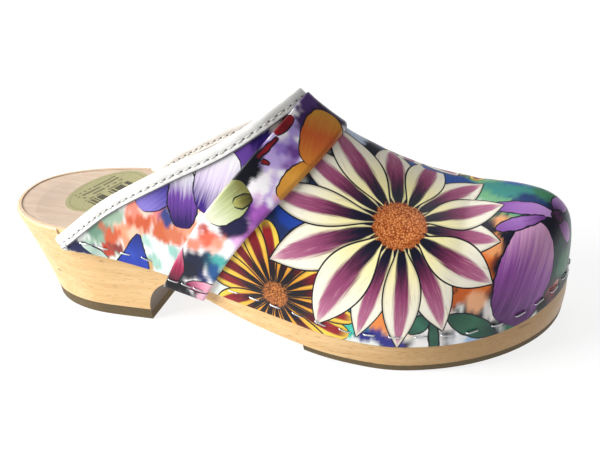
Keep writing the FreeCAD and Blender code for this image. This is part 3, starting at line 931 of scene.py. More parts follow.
def wood_grain(net, x, y, z):
    """Broad bands, fine lines and short flecks, all stretched along the sole."""
    drift = net.noise(net.combine(x * 0.006, y * 0.02, z * 0.02), 1.0) * 1.6
    bands = net.noise(net.combine(x * 0.022, y * 0.34 + drift, z * 0.34), 1.0, 3.0, 0.55)
    fine = net.noise(net.combine(x * 0.06, y * 1.6, z * 1.6), 1.0, 2.0, 0.6)
    flecks = net.noise(net.combine(x * 0.22, y * 1.9, z * 1.9), 1.0, 1.0, 0.5)
    return bands, fine, flecks


def knots(net, wall, x, y, z, fine):
    """Small dark knots in the lateral wall."""
    for knot_x, knot_z, long, high in KNOTS:
        dx = (x - knot_x + (fine - 0.5) * 1.5) / long
        dz = (z - knot_z + (fine - 0.5) * 0.8) / high
        mark = net.smooth(dx * dx + dz * dz, 1.3, 0.5) * net.smooth(y, 5.0, 0.0)
        wall = net.stain(mark * 0.75, wall, "6E4322")
    return wall


def wood_material():
    """Pale alder, lacquered outside; the footbed inside the rim is bare sanded wood."""
    net = Net("alder")
    point = net.position()
    x, y, z = net.split(point)
    below_rim = rim_height(net, x) - z
    facing = net.node("ShaderNodeNewGeometry")
    normal_x, normal_y, up = net.split(Wire(net, facing.outputs["Normal"]))
    inward = normal_x * (x - FOOTBED_CENTRE[0]) + normal_y * (y - FOOTBED_CENTRE[1])
    bare_place = net.math("MAXIMUM", net.smooth(up, 0.45, 0.85), net.smooth(inward, 0.0, -4.0))
    footbed = bare_place * net.smooth(below_rim, FOOTBED_DEPTH + 1.0, FOOTBED_DEPTH)
    rim_top = net.smooth(up, 0.25, 0.8) * net.smooth(below_rim, 0.42, 0.26)
    bands, fine, flecks = wood_grain(net, x, y, z)
    fleck = net.smooth(flecks, 0.62, 0.72)

    patches = net.noise(net.vector("SCALE", point, 0.018), 1.0, 2.0)
    wall = net.ramp(bands, [(0.25, "D2A76C"), (0.46, "DEB57A"), (0.66, "E8C38C")])
    wall = net.stain(net.smooth(fine, 0.45, 0.75) * 0.35, wall, "C48F57")
    wall = net.stain(fleck * 0.62, wall, "8F5C2E")
    wall = net.stain(net.smooth(patches, 0.45, 0.7) * 0.25, wall, "EFC68A")
    wall = knots(net, wall, x, y, z, fine)
    wall = net.stain(rim_top * 0.55, wall, "E9CBA0")
    # Painted shade: the lacquered walls darken towards the toe, standing in for the dimmer light on
    # that end.
    wall = net.stain(net.smooth(x, 165.0, 232.0) * 0.7, wall, "9A7038")
    # Painted shade: the end-grain face of the heel breast under the arch, which looks towards the
    # toe, is darkened almost to black for the deep shadow there.
    painted_breast_shade = net.smooth(normal_x, 0.1, 0.75) * net.smooth(x, 140.0, 110.0)
    wall = net.stain(painted_breast_shade * 0.92, wall, "3A2614")

    wear = net.smooth(net.noise(net.vector("SCALE", point, 0.05), 1.0, 3.0), 0.45, 0.7)
    bare = net.ramp(bands, [(0.3, "C6AE99"), (0.5, "CDB7A2"), (0.68, "D3BFAB")])
    bare = net.stain(net.smooth(fine, 0.45, 0.7) * 0.35, bare, "BFA58C")
    bare = net.stain(fleck * 0.25, bare, "A08468")
    bare = net.stain(wear * 0.4, bare, "B9A59A")
    bare = net.stain(rim_top * 0.5, bare, "E2C49C")
    rough = footbed * 0.26 + 0.36 + (fine - 0.5) * 0.12
    net.bump(fine * 0.7 + flecks * 0.3, 0.16, 0.0004)
    return net.finish(net.mix(footbed, wall, bare), rough)


def rubber_material():
    net = Net("brown_sole_rubber")
    point = net.position()
    speck = net.noise(point, 1.4, 3.0, 0.7)
    broad = net.noise(point, 0.05, 2.0)
    colour = net.mottle(speck, "5A4A2C", "6F5C38")
    colour = net.stain(net.smooth(broad, 0.35, 0.7) * 0.4, colour, "4B3D26")
    net.bump(net.noise(point, 0.9, 4.0, 0.65), 0.35, 0.0006)
    return net.finish(colour, net.scaled(speck, 0.62, 0.8))


def lining_material():
    """Pale inner leather with fine pores."""
    net = Net("pale_lining_leather")
    point = net.position()
    cloud = net.noise(point, 0.06, 3.0, 0.6)
    colour = net.mottle(cloud, "E9DDCB", "F3EBDD")
    pores = net.voronoi(point, 1.1, "DISTANCE_TO_EDGE")
    colour = net.stain(net.smooth(pores, 0.08, 0.0) * 0.25, colour, "C6B49C")
    net.bump(net.smooth(pores, 0.0, 0.12) + net.noise(point, 0.35, 3.0), 0.25, 0.0004)
    return net.finish(colour, net.scaled(cloud, 0.52, 0.66))


def plain_material(name, grain, colours, edges, relief, rough, **settings):
    """One noise steers the colour, the relief and the roughness."""
    net = Net(name)
    value = net.noise(net.position(), *grain)
    net.bump(value, *relief)
    return net.finish(net.mottle(value, *colours, *edges), net.scaled(value, *rough), **settings)


def steel_material(name, *colours):
    """Drawn wire or nail steel with faint scratches."""
    return plain_material(name, (2.6, 3.0, 0.7), colours, (0.35, 0.7), (0.12, 0.0002), (0.36, 0.52),
                          Metallic=1.0)


def binding_material():
    """Smooth white leather with needle holes darkened by painted shade, a pressed stitch line and a
    painted shadow along its lower edge.
    """
    net = Net("white_binding_leather")
    coordinate = net.node("ShaderNodeUVMap", uv_map=TAPE_MAP)
    u, v, _ = net.split(Wire(net, coordinate.outputs[0]))
    point = net.position()
    grain = net.voronoi(point, 1.25, "DISTANCE_TO_EDGE")
    cloud = net.noise(point, 0.16, 3.0, 0.6)
    colour = net.mottle(cloud, "EFEEEA", "FAFAF7")
    colour = net.stain(net.smooth(grain, 0.06, 0.0) * 0.12, colour, "C9C6BF")
    cell = net.math("FRACT", u)
    from_hole = net.math("MINIMUM", cell, 1.0 - cell) * STITCH_PITCH
    drop = v - STITCH_DROP
    hole = from_hole * from_hole * 1.3 + drop * drop * 4.4
    hole_mask = net.smooth(hole, 1.0, 0.4)
    groove = net.smooth(abs(drop), 0.7, 0.1)
    colour = net.stain(groove * 0.16, colour, "A9A59C")
    # Painted shade: the needle holes are darkened nearly to black for the shade inside them.
    colour = net.stain(hole_mask * 0.85, colour, "3E3835")
    # Painted shadow: a dark line along the tape's lower edge, where it stands proud of the print.
    hem = net.smooth(v, BINDING_WIDTH - 0.62, BINDING_WIDTH - 0.42)
    colour = net.stain(hem * 0.85, colour, "4A4550")
    relief = net.smooth(grain, 0.0, 0.1) * 0.25 + cloud * 0.6 - hole_mask * 1.2 - groove * 0.5
    net.bump(relief, 0.35, 0.0004)
    return net.finish(colour, net.scaled(cloud, 0.40, 0.52))


def label_material():
    """Khaki paper oval with plain bars and rows of dashes, no lettering."""
    net = Net("khaki_label_paper")
    point = net.position()
    offset = net.vector("SUBTRACT", point, LABEL_CENTRE)
    cosine, sine = math.cos(LABEL_TURN), math.sin(LABEL_TURN)
    a = offset.dot((cosine, sine, 0))
    b = offset.dot((-sine, cosine, 0))
    printed = net.within(a, 12.5)
    fibre = net.noise(point, 0.9, 3.0, 0.7)
    colour = net.mottle(fibre, "9C976E", "B0AA80")
    across, down = a / LABEL_HALVES[0], b / LABEL_HALVES[1]
    border = net.math("SQRT", across * across + down * down)
    ink = net.smooth(border, 0.88, 0.90) * net.smooth(border, 0.93, 0.91) * 0.25
    bar_pick = net.white(net.math("FLOOR", a * 1.3))[0]
    bars = net.smooth(bar_pick, 0.38, 0.42) * net.within(b + 5.0, 5.4) * printed
    dash_pick = net.white(net.math("FLOOR", a * 0.7) + net.math("FLOOR", b * 0.33) * 17.0)[1]
    rows = net.within(net.math("FRACT", b * 0.33) - 0.5, 0.27, 0.05)
    rows = rows * net.smooth(dash_pick, 0.3, 0.34) * net.within(b - 6.0, 5.0) * printed
    ink = net.math("MAXIMUM", ink, net.math("MAXIMUM", bars * 0.9, rows * 0.7))
    colour = net.stain(ink, colour, "3F3A30")
    net.bump(fibre, 0.15, 0.0003)
    return net.finish(colour, net.scaled(fibre, 0.6, 0.75))


# ---------------------------------------------------------------- the stage, light and camera
FLOOR_GAP = 0.0002
WORLD_STRENGTH = 0.17
CAMERA_ANGLES = (21.2269, 29.1021, -6.1465)
CAMERA_TARGET = (144.984, 0.145, 38.381)
CAMERA_DISTANCE = 0.367156
CAMERA_LENS = 48.289


def make_stage():
    mesh = bpy.data.meshes.new("floor")
    corners = [(x, y, 0) for x, y in ((-3, -3), (3, -3), (3, 3), (-3, 3))]
    mesh.from_pydata(corners, [], [(0, 1, 2, 3)])
    net = Net("floor_white")
    haze = net.noise(net.position(), 0.002, 2.0)
    colour = net.stain(haze, rgb("767676"), "7A7A7A")
    glow = {"Emission_Color": (1, 1, 1, 1), "Emission_Strength": 0.84}
    mesh.materials.append(net.finish(colour, 0.9, **glow))
    floor = bpy.data.objects.new("floor", mesh)
    bpy.context.scene.collection.objects.link(floor)
    floor.location.z = cad_low.z - FLOOR_GAP


def area_light(name, place, target, size, power):
    data = bpy.data.lights.new(name, "AREA")
    data.shape = "RECTANGLE"
    data.size, data.size_y = size
    data.energy = power
    lamp = bpy.data.objects.new(name, data)
    lamp.location = place
    lamp.rotation_mode = "QUATERNION"
    lamp.rotation_quaternion = (Vector(target) - Vector(place)).to_track_quat("-Z", "Y")
    bpy.context.scene.collection.objects.link(lamp)


def make_light():
    world = bpy.data.worlds.new("studio")
    world.use_nodes = True
    background = world.node_tree.nodes["Background"]
    background.inputs["Color"].default_value = (1, 1, 1, 1)
    background.inputs["Strength"].default_value = WORLD_STRENGTH
    bpy.context.scene.world = world
    middle = (cad_low + cad_high) / 2
    area_light("key", (-0.95, -0.50, 0.66), middle, (0.75, 0.75), 26.5)
    area_light("top", (-0.15, 0.45, 1.05), middle, (1.0, 0.8), 4.5)
    scene = bpy.context.scene
    scene.view_settings.view_transform = "Standard"
    scene.view_settings.look = "None"
    scene.view_settings.exposure = 0.0


def make_camera():
    """The photograph's viewing angle, as azimuth, elevation and roll round a point of the clog."""
    azimuth, elevation, roll = (math.radians(angle) for angle in CAMERA_ANGLES)
    target = Vector(metres(CAMERA_TARGET))
    right = Vector((math.cos(azimuth), math.sin(azimuth), 0))
    level = Vector((math.sin(azimuth), -math.cos(azimuth), 0))
    back = level * math.cos(elevation) + Vector((0, 0, math.sin(elevation)))
    up = back.cross(right)
    camera_x = right * math.cos(roll) + up * math.sin(roll)
    camera_y = up * math.cos(roll) - right * math.sin(roll)
    data = bpy.data.cameras.new("camera")
    data.sensor_width = 36.0
    data.lens = CAMERA_LENS
    data.clip_start = 0.01
    data.clip_end = 20.0
    camera = bpy.data.objects.new("camera", data)
    rotation = Matrix((camera_x, camera_y, back)).transposed()
    camera.matrix_world = Matrix.Translation(target + back * CAMERA_DISTANCE) @ rotation.to_4x4()
    bpy.context.scene.collection.objects.link(camera)
    bpy.context.scene.camera = camera


# ---------------------------------------------------------------- the floral print
# Soft washes: centre, radius and colour of each blot, painted one over the other.
FRONT_WASHES = [
    ((150, -34, 62), 16, "20305E"), ((154, -31, 65), 9, "1F3F98"), ((152, -42, 43), 8, "5B4D3A"),
    ((165, -45, 36), 9, "0E111C"), ((160, -47, 25), 9, "F2F5F3"), ((168, -48, 26), 8, "79CDC0"),
    ((180, -48, 25), 11, "10808F"), ((178, -48, 19), 5, "45BFA6"), ((189, -48, 33), 7, "0E1524"),
    ((196, -47, 35), 8, "0F1220"), ((197, -48, 25), 8, "E98A45"), ((203, -48, 22), 5, "F6D9B8"),
    ((192, -48, 18), 4, "2B2A82"), ((198, -49, 16), 4, "2B2A82"), ((186, -49, 17), 4, "2B2A82"),
    ((212, -47, 18), 7, "F4F1EE"), ((217, -44, 27), 6, "F1E9E2"), ((226, -41, 15), 7, "F2F4F6"),
    ((228, -40, 14), 4, "9CC0E4"), ((223, -36, 42), 12, "D2622A"), ((221, -37, 46), 6, "8F2F24"),
    ((222, -34, 50), 6, "1B1E2E"), ((222, -39, 36), 6, "C4602C"), ((228, -36, 32), 5, "F0B084"),
    ((228, -27, 50), 9, "E87434"),
    ((233, -24, 51), 5, "F4A46A"), ((231, -33, 41), 5, "E2762F"), ((236, -35, 28), 5, "F5EEE8"),
    ((220, -19, 57), 6, "1A2038"), ((232, 4, 58), 17, "73B283"), ((239, 14, 56), 14, "3F8F88"),
    ((226, -6, 58), 6, "D9E6DC"), ((217, -2, 60), 8, "235BB4"), ((246, 0, 57), 8, "1D3A70"),
    ((241, -8, 55), 5, "5FA47E"), ((252, 12, 52), 9, "3C7F5C"), ((241, 24, 54), 12, "2C62A6"),
    ((236, -13, 55), 4, "F1A871"), ((259, -9, 40), 9, "123F3B"), ((262, -3, 34), 8, "2F6E52"),
    ((262, 6, 42), 9, "1C4A50"), ((257, -13, 24), 5, "701D2E"), ((260, -8, 23), 5, "12161C"),
    ((249, -25, 22), 6, "17463F"), ((253, -20, 20), 4, "0D1416"), ((243, -31, 20), 5, "2E6B50"),
    ((186, 16, 70), 8, "2A3C74"), ((201, 13, 64), 8, "2D5CAE"), ((171, 6, 81), 8, "C5D2E8"),
    ((214, 10, 60), 8, "2A4F9A"),
]
REAR_WASHES = [
    ((66, -39, 52), 15, "8FAE98"), ((64, -39, 54), 9, "6E947E"), ((75, -39, 59), 7, "9DB8A0"),
    ((50, -39, 43), 5, "15184A"), ((55, -39, 41), 5, "15184A"), ((61, -39, 39), 4, "1B2058"),
    ((57, -39, 44), 2.5, "A9C4B4"), ((76, -39, 52), 5, "BFD2C0"), ((80, -40, 49), 9, "F3A07C"),
    ((72, -40, 48), 6, "CE5E38"), ((67, -40, 41), 4.5, "B8402A"), ((73, -39, 43), 3, "8E3A34"),
    ((95, -40, 41), 11, "E6F2EC"), ((104, -39, 46), 8, "F4F8F6"), ((90, -39, 59), 11, "F0967C"),
    ((88, -39, 57), 8, "D05C36"), ((97, -39, 53), 7, "D4683F"), ((104, -39, 52), 6, "DA7A56"),
    ((86, -39, 64), 6, "F2907C"), ((95, -38, 66), 7, "E87A84"), ((91, -39, 63), 3.5, "FAD0BE"),
    ((110, -38, 56), 6, "F0A080"), ((84, -39, 51), 4, "F6C8AC"), ((91, -40, 46), 5, "F4F6F2"),
    ((89, -39, 48), 3, "B4DACE"), ((90, -40, 37), 3.5, "9CCBBB"), ((101, -40, 43), 3.5, "9AD2C4"),
    ((87, -39, 35), 3, "CBA36C"), ((103, -37, 70), 5, "1B2C58"), ((101, -38, 60), 4, "3A4486"),
    ((117, -36, 64), 4, "F29A70"), ((126, -30, 82), 13, "F4F1F8"), ((138, -20, 91), 9, "2C1468"),
    ((133, -26, 84), 6, "6A44A0"), ((118, -35, 58), 5, "F5F2F0"),
]
STRAP_WASHES = [
    ((112, -42, 44), 9, "F6F1F0"), ((141, -31, 73), 15, "BFA2DC"), ((139, -34, 66), 9, "8444A2"),
    ((142, -36, 62), 8, "A45AB4"), ((136, -40, 55), 8, "B468B8"), ((144, -37, 60), 6, "8E4AA0"),
    ((133, -41, 50), 5, "DDA8DA"), ((142, -31, 74), 7.5, "F8F4F6"), ((143, -27, 79), 6, "F6F0F4"),
    ((141, -33, 69), 4, "F0DDEC"), ((132, -31, 78), 6, "0A0C16"), ((136, -29, 81), 6.5, "0A0C16"),
    ((139, -25, 84), 5.5, "0A0C16"), ((142, -22, 86), 4, "0A0C16"), ((134, -38, 61), 6.5, "18163E"),
    ((127, -39, 58), 6, "18163E"), ((137, -36, 65), 4, "34205C"), ((140, -30, 68), 3, "C58BD0"),
    ((119, -40, 53), 8, "E2674E"), ((113, -40, 50), 5, "EA8A70"), ((124, -41, 50), 5, "F0977C"),
    ((117, -40, 57), 4, "B83A30"), ((121, -40, 47), 3.5, "F6C0AE"), ((129, -41, 48), 5, "F8F5F5"),
    ((116, -41, 46), 3, "F6EFEC"), ((118, -42, 40), 7, "1B4E66"), ((124, -42, 43), 5, "4AA8A2"),
    ((120, -42, 36), 6, "184F88"), ((111, -42, 39), 8, "121A36"), ((108, -42, 35), 6, "101830"),
    ((114, -42, 33), 5, "13245C"), ((107, -42, 43), 3.5, "1A1E3C"), ((126, -42, 39), 3, "A8D8CE"),
    ((96, -42, 32), 4, "0A0A12"), ((99, -42, 29), 6, "0A0A12"), ((104, -42, 27), 5, "0A0A12"),
    ((109, -42, 26), 3.5, "14101C"), ((98, -42, 23), 7, "0A0A12"), ((104, -42, 22), 6, "14101C"),
    ((114, -42, 21), 5, "E4AFC2"), ((108, -42, 35), 6, "101428"),
    ((148, -19, 84), 9, "A98AD2"), ((147, -23, 82), 6, "BBA3DE"), ((149, -16, 87), 6, "9274C4"),
    ((151, -22, 78), 4, "7C4E9E"), ((153, -17, 83), 4, "6A3E8C"), ((147, -26, 77), 3.5, "DCCBEA"),
    ((148, -31, 70), 3.5, "F0A392"), ((157, -28, 69), 4, "101118"), ((150, -12, 91), 6, "A994D4"),
    ((147, -15, 90), 4, "ECE6F0"), ((153, 4, 97), 12, "4E2F6E"), ((157, -4, 92), 8, "3A1C54"),
    ((160, 8, 89), 9, "2E1A42"), ((165, 13, 84), 6, "3A2450"),
]
# Petals: base, tip, half width, fullness near base and tip, colours from base to tip, streaks.
FRONT_PETALS = [
    ((219, -43, 28), (236, -35, 17), 4.6, 0.7, 0.7, ("1D4A3A", "2F6B50", "1A3F38"), 0.25),
    ((214, -46, 28), (214, -46, 11), 1.7, 0.3, 0.3, ("1E4A3C", "2C5F4A", "1E4A3C"), 0.15),
    ((212, -46, 29), (204, -47.5, 21), 3.2, 0.6, 0.6, ("1F4B3D", "35705A", "23503F"), 0.25),
    ((239, -31, 20), (250, -9, 55), 12.5, 0.36, 0.50, ("5A2368", "9C5AAA", "DDA6CE"), 0.75),
    ((230, -5, 58.5), (256, -2, 54), 3.6, 0.5, 0.5, ("7A3F9A", "A66CC0", "C79AD8"), 0.35),
    ((234, -17, 54), (252, -5, 54), 2.7, 0.45, 0.7, ("8A55A8", "A873C2", "7A4596"), 0.3),
    ((256, -2, 53), (261, 1, 41), 3.2, 0.7, 0.45, ("3A1A44", "8E4C9C", "B880C4"), 0.3),
    ((255, 0, 54), (258, 13, 53), 3.6, 0.6, 0.4, ("4A2458", "A678C0", "C9A2DA"), 0.3),
    ((255, -4, 53), (258, 3, 52), 2.7, 0.5, 0.5, ("1A1420", "5A3058", "2A1A30"), 0.8),
    ((254, -15, 22), (259, -9, 28), 2.4, 0.6, 0.6, ("5E1526", "8E2E3E", "C98A78"), 0.3),
]
MEDIAL_PETALS = [
    ((232, 44, 20), (214, 44, 36), 5.0, 0.7, 0.7, ("1D4A3A", "2F6B50", "1A3F38"), 0.25),
    ((176, 46, 22), (160, 44, 30), 4.6, 0.6, 0.6, ("1F4B3D", "35705A", "23503F"), 0.25),
    ((243, 30, 22), (240, 18, 54), 9.5, 0.42, 0.46, ("5A2368", "9C5AAA", "DDA6CE"), 0.75),
]
REAR_PETALS = [
    ((112, -34, 81), (88, -38.5, 64), 6.4, 0.5, 0.42, ("241C66", "5446A6", "8A7CD0"), 0.5),
    ((110, -34, 82), (106.5, -38, 55), 6.3, 0.40, 0.34, ("FBFAFD", "7444A6", "260F5C"), 0.6),
    ((128, -28, 88), (118, -37, 62), 9.2, 0.45, 0.5, ("FFFDFF", "E4D4F0", "3C1C80"), 0.6),
    ((77, -38.5, 27), (85.5, -39, 51), 8.2, 0.12, 0.95, ("1E2F9C", "2B46B4", "1A2A80"), 0.3),
    ((54, -38, 43), (67, -39, 36), 2.2, 0.7, 0.7, ("C4D6CC", "9DB7A8", "C4D6CC"), 0.3),
]
STRAP_PETALS = [
    ((99, -42, 29), (106, -41, 49), 3.4, 0.45, 0.75, ("4E0E26", "A82450", "D9809A"), 0.4),
    ((105, -42, 28), (121, -42, 28), 2.8, 0.55, 0.5, ("8E2A50", "DC8AA6", "F4CCD4"), 0.4),
    ((119, -38.5, 61), (137, -33, 74), 7.6, 0.36, 0.34, ("E6E8CC", "BCC68E", "76743E"), 0.5),
    ((131, -36, 67), (139, -33.5, 70), 2.4, 0.5, 0.5, ("A8A860", "6E6A34", "3A3418"), 0.5),
    ((149.5, -31, 68), (160, -18, 79), 4.6, 0.4, 0.42, ("C98A34", "DE9E40", "C8812C"), 0.35),
    ((161, -19, 77), (159, 6, 89), 9.0, 0.34, 0.36, ("C9772E", "BC5526", "C68A30"), 0.5),
    ((144.5, -17, 90), (150, -8, 95), 2.2, 0.5, 0.6, ("8E1A24", "6A101C", "8E1A24"), 0.3),
    ((139, -25, 83), (146, -17, 89), 0.8, 0.4, 0.6, ("6A101C", "8E1A24", "6A101C"), 0.3),
    ((141, -25, 82), (144, -24, 80), 0.7, 0.3, 0.8, ("6A101C", "8E1A24", "6A101C"), 0.3),
]
OUTLINE = "10131F"
QUARTERS_END_X = 130


def mirrored(rows):
    """The same drawing on the medial side, at equal distances from the crown line."""
    copies = []
    for row in rows:
        copy = list(row)
        for place, item in enumerate(row):
            if isinstance(item, tuple) and len(item) == 3 and not isinstance(item[0], str):
                copy[place] = (item[0], 2 * float(crown_y(item[0])) - item[1], item[2])
        copies.append(tuple(copy))
    return copies


def paint_washes(piece, base, washes, seed, fray):
    """Paint the soft blots into a colour attribute; those on the quarters are frayed most."""
    mesh = piece.data
    flat = np.empty(len(mesh.vertices) * 3)
    mesh.vertices.foreach_get("co", flat)
    points = flat.reshape(-1, 3) * 1000 - SHIFT
    colours = np.tile(np.array(rgb(base)), (len(points), 1))
    wide = soft_noise(points, 9.0, seed)
    small = soft_noise(points * np.array([1.0 + fray * 0.2, 1.0, 0.4]), 2.3, seed + 4)
    frayed = np.where(points[:, 0] < QUARTERS_END_X, fray, fray * 0.2)
    middles = onto_form(np.array([centre for centre, _, _ in washes], float), PROUD)
    for middle, (_, radius, code) in zip(middles, washes):
        reach = np.linalg.norm(points - middle, axis=1)
        ragged = reach + wide * radius * 0.56 + small * (frayed + radius * 0.3)
        mask = 1 - smooth_step(ragged, radius * 0.7 - 0.6, radius + 0.7)
        colours += (np.array(rgb(code)) - colours) * mask[:, None]
    layer = mesh.color_attributes.new(name="wash", type="FLOAT_COLOR", domain="POINT")
    layer.data.foreach_set("color", colours.ravel().astype(np.float32))
    mesh.color_attributes.active_color = layer


def petal_width(t, powers, half):
    """Half width of a petal at t between its base and its tip, `half` where it is widest."""
    low, high = powers
    total = low + high
    peak = (low / total) ** low * (high / total) ** high
    return (t ** low) * ((1.0 - t) ** high) * (half / peak)


def outlined(net, below, body, inside, here, line_end, fill_start):
    """A filled and outlined shape; `inside` is the distance in from its edge."""
    line = net.smooth(inside, -0.72, line_end) * here
    fill = net.smooth(inside, fill_start, fill_start + 0.22) * here
    return net.mix(fill, net.stain(line, below, OUTLINE), body)


def petal(net, point, wobble, below, row):
    """One outlined petal between two points of the surface, painted over what is below it."""
    base, tip, half, low_power, high_power, codes, streaks = row
    ends = onto_form(np.array([base, tip], float), PROUD)
    along = ends[1] - ends[0]
    length = float(np.linalg.norm(along))
    outward = form_normal(ends.mean(0)[None])[0]
    along = along / length
    outward = unit(outward - along * (outward @ along))
    across = np.cross(outward, along)
    offset = net.vector("SUBTRACT", point, tuple(ends[0]))
    share = offset.dot(along / length)
    aside = offset.dot(across)
    depth = offset.dot(outward)
    t = net.unit_range(share)
    width = petal_width(t, (low_power, high_power), half)
    inside = width + (wobble - 0.5) * 2.2 - abs(aside)
    ends_here = net.smooth(share, -0.01, 0.01) * net.smooth(share, 1.01, 0.99)
    here = net.within(depth, 17.0, 3.0) * ends_here
    strand = net.noise(net.combine(share * 1.6, aside * 1.15, half), 1.0, 2.0, 0.6)
    shade = net.ramp(t + (strand - 0.5) * streaks, list(zip((0.08, 0.5, 0.92), codes)))
    return outlined(net, below, shade, inside, here, -0.48, -0.08)


def petal_ring(net, below, polar, count, offset, seed, look):
    """A ring of long petals round a centre: pale edges, a dark base and a coloured stripe."""
    turn, radius, here = polar
    step = 2 * math.pi / count
    wave = net.math("SINE", turn * 3.0 + seed) * 0.05
    q = turn * (1 / step) + wave + offset
    cell = net.math("FLOOR", q + 0.5)
    person = net.math("FLOORED_MODULO", cell, float(count))
    first, second, third = net.white(person + seed)
    share = (q - cell) * step
    lean = 1.0 - net.math("COSINE", turn + look["lean_turn"]) * look["lean"]
    reach = look["length"] * (first * 0.16 + 0.92) * lean
    start = look["disc"] * 0.8
    t = net.unit_range((radius - start) / (reach - start))
    aside = net.math("SINE", share) * radius + (third - 0.5) * t * t * look["bend"]
    width = petal_width(t, look["powers"], look["half"]) * (second * 0.24 + 0.88)
    width = width + (1.0 - t) * look["base"]
    size = abs(aside)
    inside = width - size
    strand = net.noise(net.combine(aside * 1.7, radius * 0.09, person * 7.3), 1.0, 3.0, 0.65)

    pale = net.mottle(t, look["pale"], look["warm"], 0.75, 0.15)
    pale = net.stain(net.smooth(strand, 0.55, 0.75) * 0.55, pale, look["shade"])
    rim_shade = net.smooth(inside, 1.3, 0.2) * net.smooth(third, 0.3, 0.8)
    pale = net.stain(rim_shade * 0.6, pale, look["shade"])
    spread = size / width + (strand - 0.5) * 0.30 + net.smooth(t, 0.0, 0.34) * 0.34
    stripe = net.smooth(spread, look["stripe"] + 0.46, look["stripe"] + 0.24)
    stripe = stripe * net.smooth(t, 1.05, 0.84)
    tint = net.ramp(t + (strand - 0.5) * 0.46, look["stripe_colours"])
    glint = net.smooth(strand, 0.56, 0.72) * net.smooth(t, 0.3, 0.8)
    tint = net.stain(glint * 0.45, tint, look["glint"])
    live = here * net.smooth(radius, reach + 0.2, reach - 0.2)
    return outlined(net, below, net.mix(stripe, pale, tint), inside, live, -0.45, -0.02)


def flower_disc(net, point, below, radius, here, look):
    """The stippled middle of a flower."""
    size, dark = look["disc"], look["disc_dark"]
    dots = net.voronoi(point, look["dots"], "F1", 0.9)
    ragged = radius + (net.noise(point, 0.8, 2.0) - 0.5) * 6.0
    disc = net.smooth(ragged, size + 0.35, size - 0.35) * here
    stipple = net.ramp(dots, [(0.0, look["disc_light"]), (0.42, look["disc_colour"]), (0.72, dark)])
    stipple = net.stain(net.smooth(radius, size * 0.55, size) * 0.45, stipple, dark)
    return net.mix(disc, below, stipple)


def flower(net, point, below, centre, aim, count, seed, look):
    """A daisy-like flower: two overlapping rings of petals and a stippled disc."""
    ends = onto_form(np.array([centre, aim], float), PROUD)
    outward = form_normal(ends[:1])[0]
    along = ends[1] - ends[0]
    along = unit(along - outward * (along @ outward))
    across = np.cross(outward, along)
    offset = net.vector("SUBTRACT", point, tuple(ends[0]))
    u = offset.dot(along)
    v = offset.dot(across)
    depth = offset.dot(outward)
    radius = net.vector("LENGTH", offset)
    turn = net.math("ARCTAN2", v, u)
    here = net.smooth(depth, -34.0, -28.0)
    polar = (turn, radius, here)
    cloudy = radius + (net.noise(point, 0.22, 3.0, 0.6) - 0.5) * 30.0
    ground = net.smooth(cloudy, look["length"] * 0.64, look["length"] * 0.52)
    colour = net.stain(ground * here, below, "0E1020")
    colour = petal_ring(net, colour, polar, count, 0.5, seed + 13.0, look)
    colour = petal_ring(net, colour, polar, count, 0.0, seed, look)
    return flower_disc(net, point, colour, radius, here, look)


ROSE_DAISY = {
    "length": 50.0, "disc": 10.8, "half": 8.1, "base": 1.2, "bend": 9.0, "powers": (1.5, 1.2),
    "stripe": 0.42, "lean": 0.14, "lean_turn": 0.5,
    "pale": "F1EBDA", "warm": "F0E6A6", "shade": "A79C84", "dots": 1.3,
    "stripe_colours": [(0.0, "0B0C18"), (0.20, "14122A"), (0.34, "54223F"), (0.52, "8C3F66"),
                       (0.90, "B97090")],
    "glint": "E2B4C0", "disc_light": "F8BE84", "disc_colour": "D07636", "disc_dark": "8A3E18",
}
GOLD_DAISY = {
    "length": 33.0, "disc": 5.8, "half": 4.4, "base": 0.4, "bend": 7.0, "powers": (1.2, 0.48),
    "stripe": 0.50, "lean": 0.0, "lean_turn": 0.0,
    "pale": "F2D050", "warm": "E3952E", "shade": "B87A22", "dots": 1.2,
    "stripe_colours": [(0.0, "140D14"), (0.30, "1C1018"), (0.52, "6E1420"), (0.78, "9A1F28"),
                       (1.0, "8A1A24")],
    "glint": "C4483A", "disc_light": "E39A55", "disc_colour": "B4682E", "disc_dark": "6E3C1C",
}
FRONT_FLOWERS = [
    ((148, -44.7, 30.6), (139, -39, 53), 9, 31.0, GOLD_DAISY),
    ((197.4, -25.5, 57.4), (236, -4, 58), 7, 5.0, ROSE_DAISY),
]
MEDIAL_FLOWERS = [
    ((222, 42, 34), (228, 36, 48), 9, 57.0, GOLD_DAISY),
    ((180, 42, 46), (190, 30, 62), 7, 83.0, ROSE_DAISY),
]


def printed_leather(name, flowers, petals):
    """Printed leather: washes from the colour attribute, flowers drawn over them, fine grain."""
    net = Net(name)
    point = net.position()
    wobble = net.noise(point, 0.16, 2.0, 0.55)
    speckle = net.noise(point, 1.1, 3.0, 0.7)
    colour = net.attribute("wash")
    lit = net.smooth(speckle, 0.3, 0.75) * 0.22
    colour = net.mix(lit, colour, (0.62, 0.62, 0.62, 1.0), "SOFT_LIGHT")
    for centre, aim, count, seed, look in flowers[:1]:
        colour = flower(net, point, colour, centre, aim, count, seed, look)
    for row in petals:
        colour = petal(net, point, wobble, colour, row)
    for centre, aim, count, seed, look in flowers[1:]:
        colour = flower(net, point, colour, centre, aim, count, seed, look)
    grain = net.voronoi(point, 1.5, "DISTANCE_TO_EDGE")
    relief = net.smooth(grain, 0.0, 0.12) * 0.5 + speckle * 0.5
    net.bump(relief, 0.14, 0.0003)
    return net.finish(colour, net.scaled(speckle, 0.30, 0.40), Coat_Weight=0.06,
                      Coat_Roughness=0.22, Specular_IOR_Level=0.32)


# ---------------------------------------------------------------- the whole scene
BEHIND_STRAP_END_X = 170
MEDIAL_PRINT_Y = 15.5


def dress_node(name, material):
    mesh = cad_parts[name].data
    mesh.materials.clear()
    mesh.materials.append(material)
    mesh.polygons.foreach_set("material_index", [0] * len(mesh.polygons))


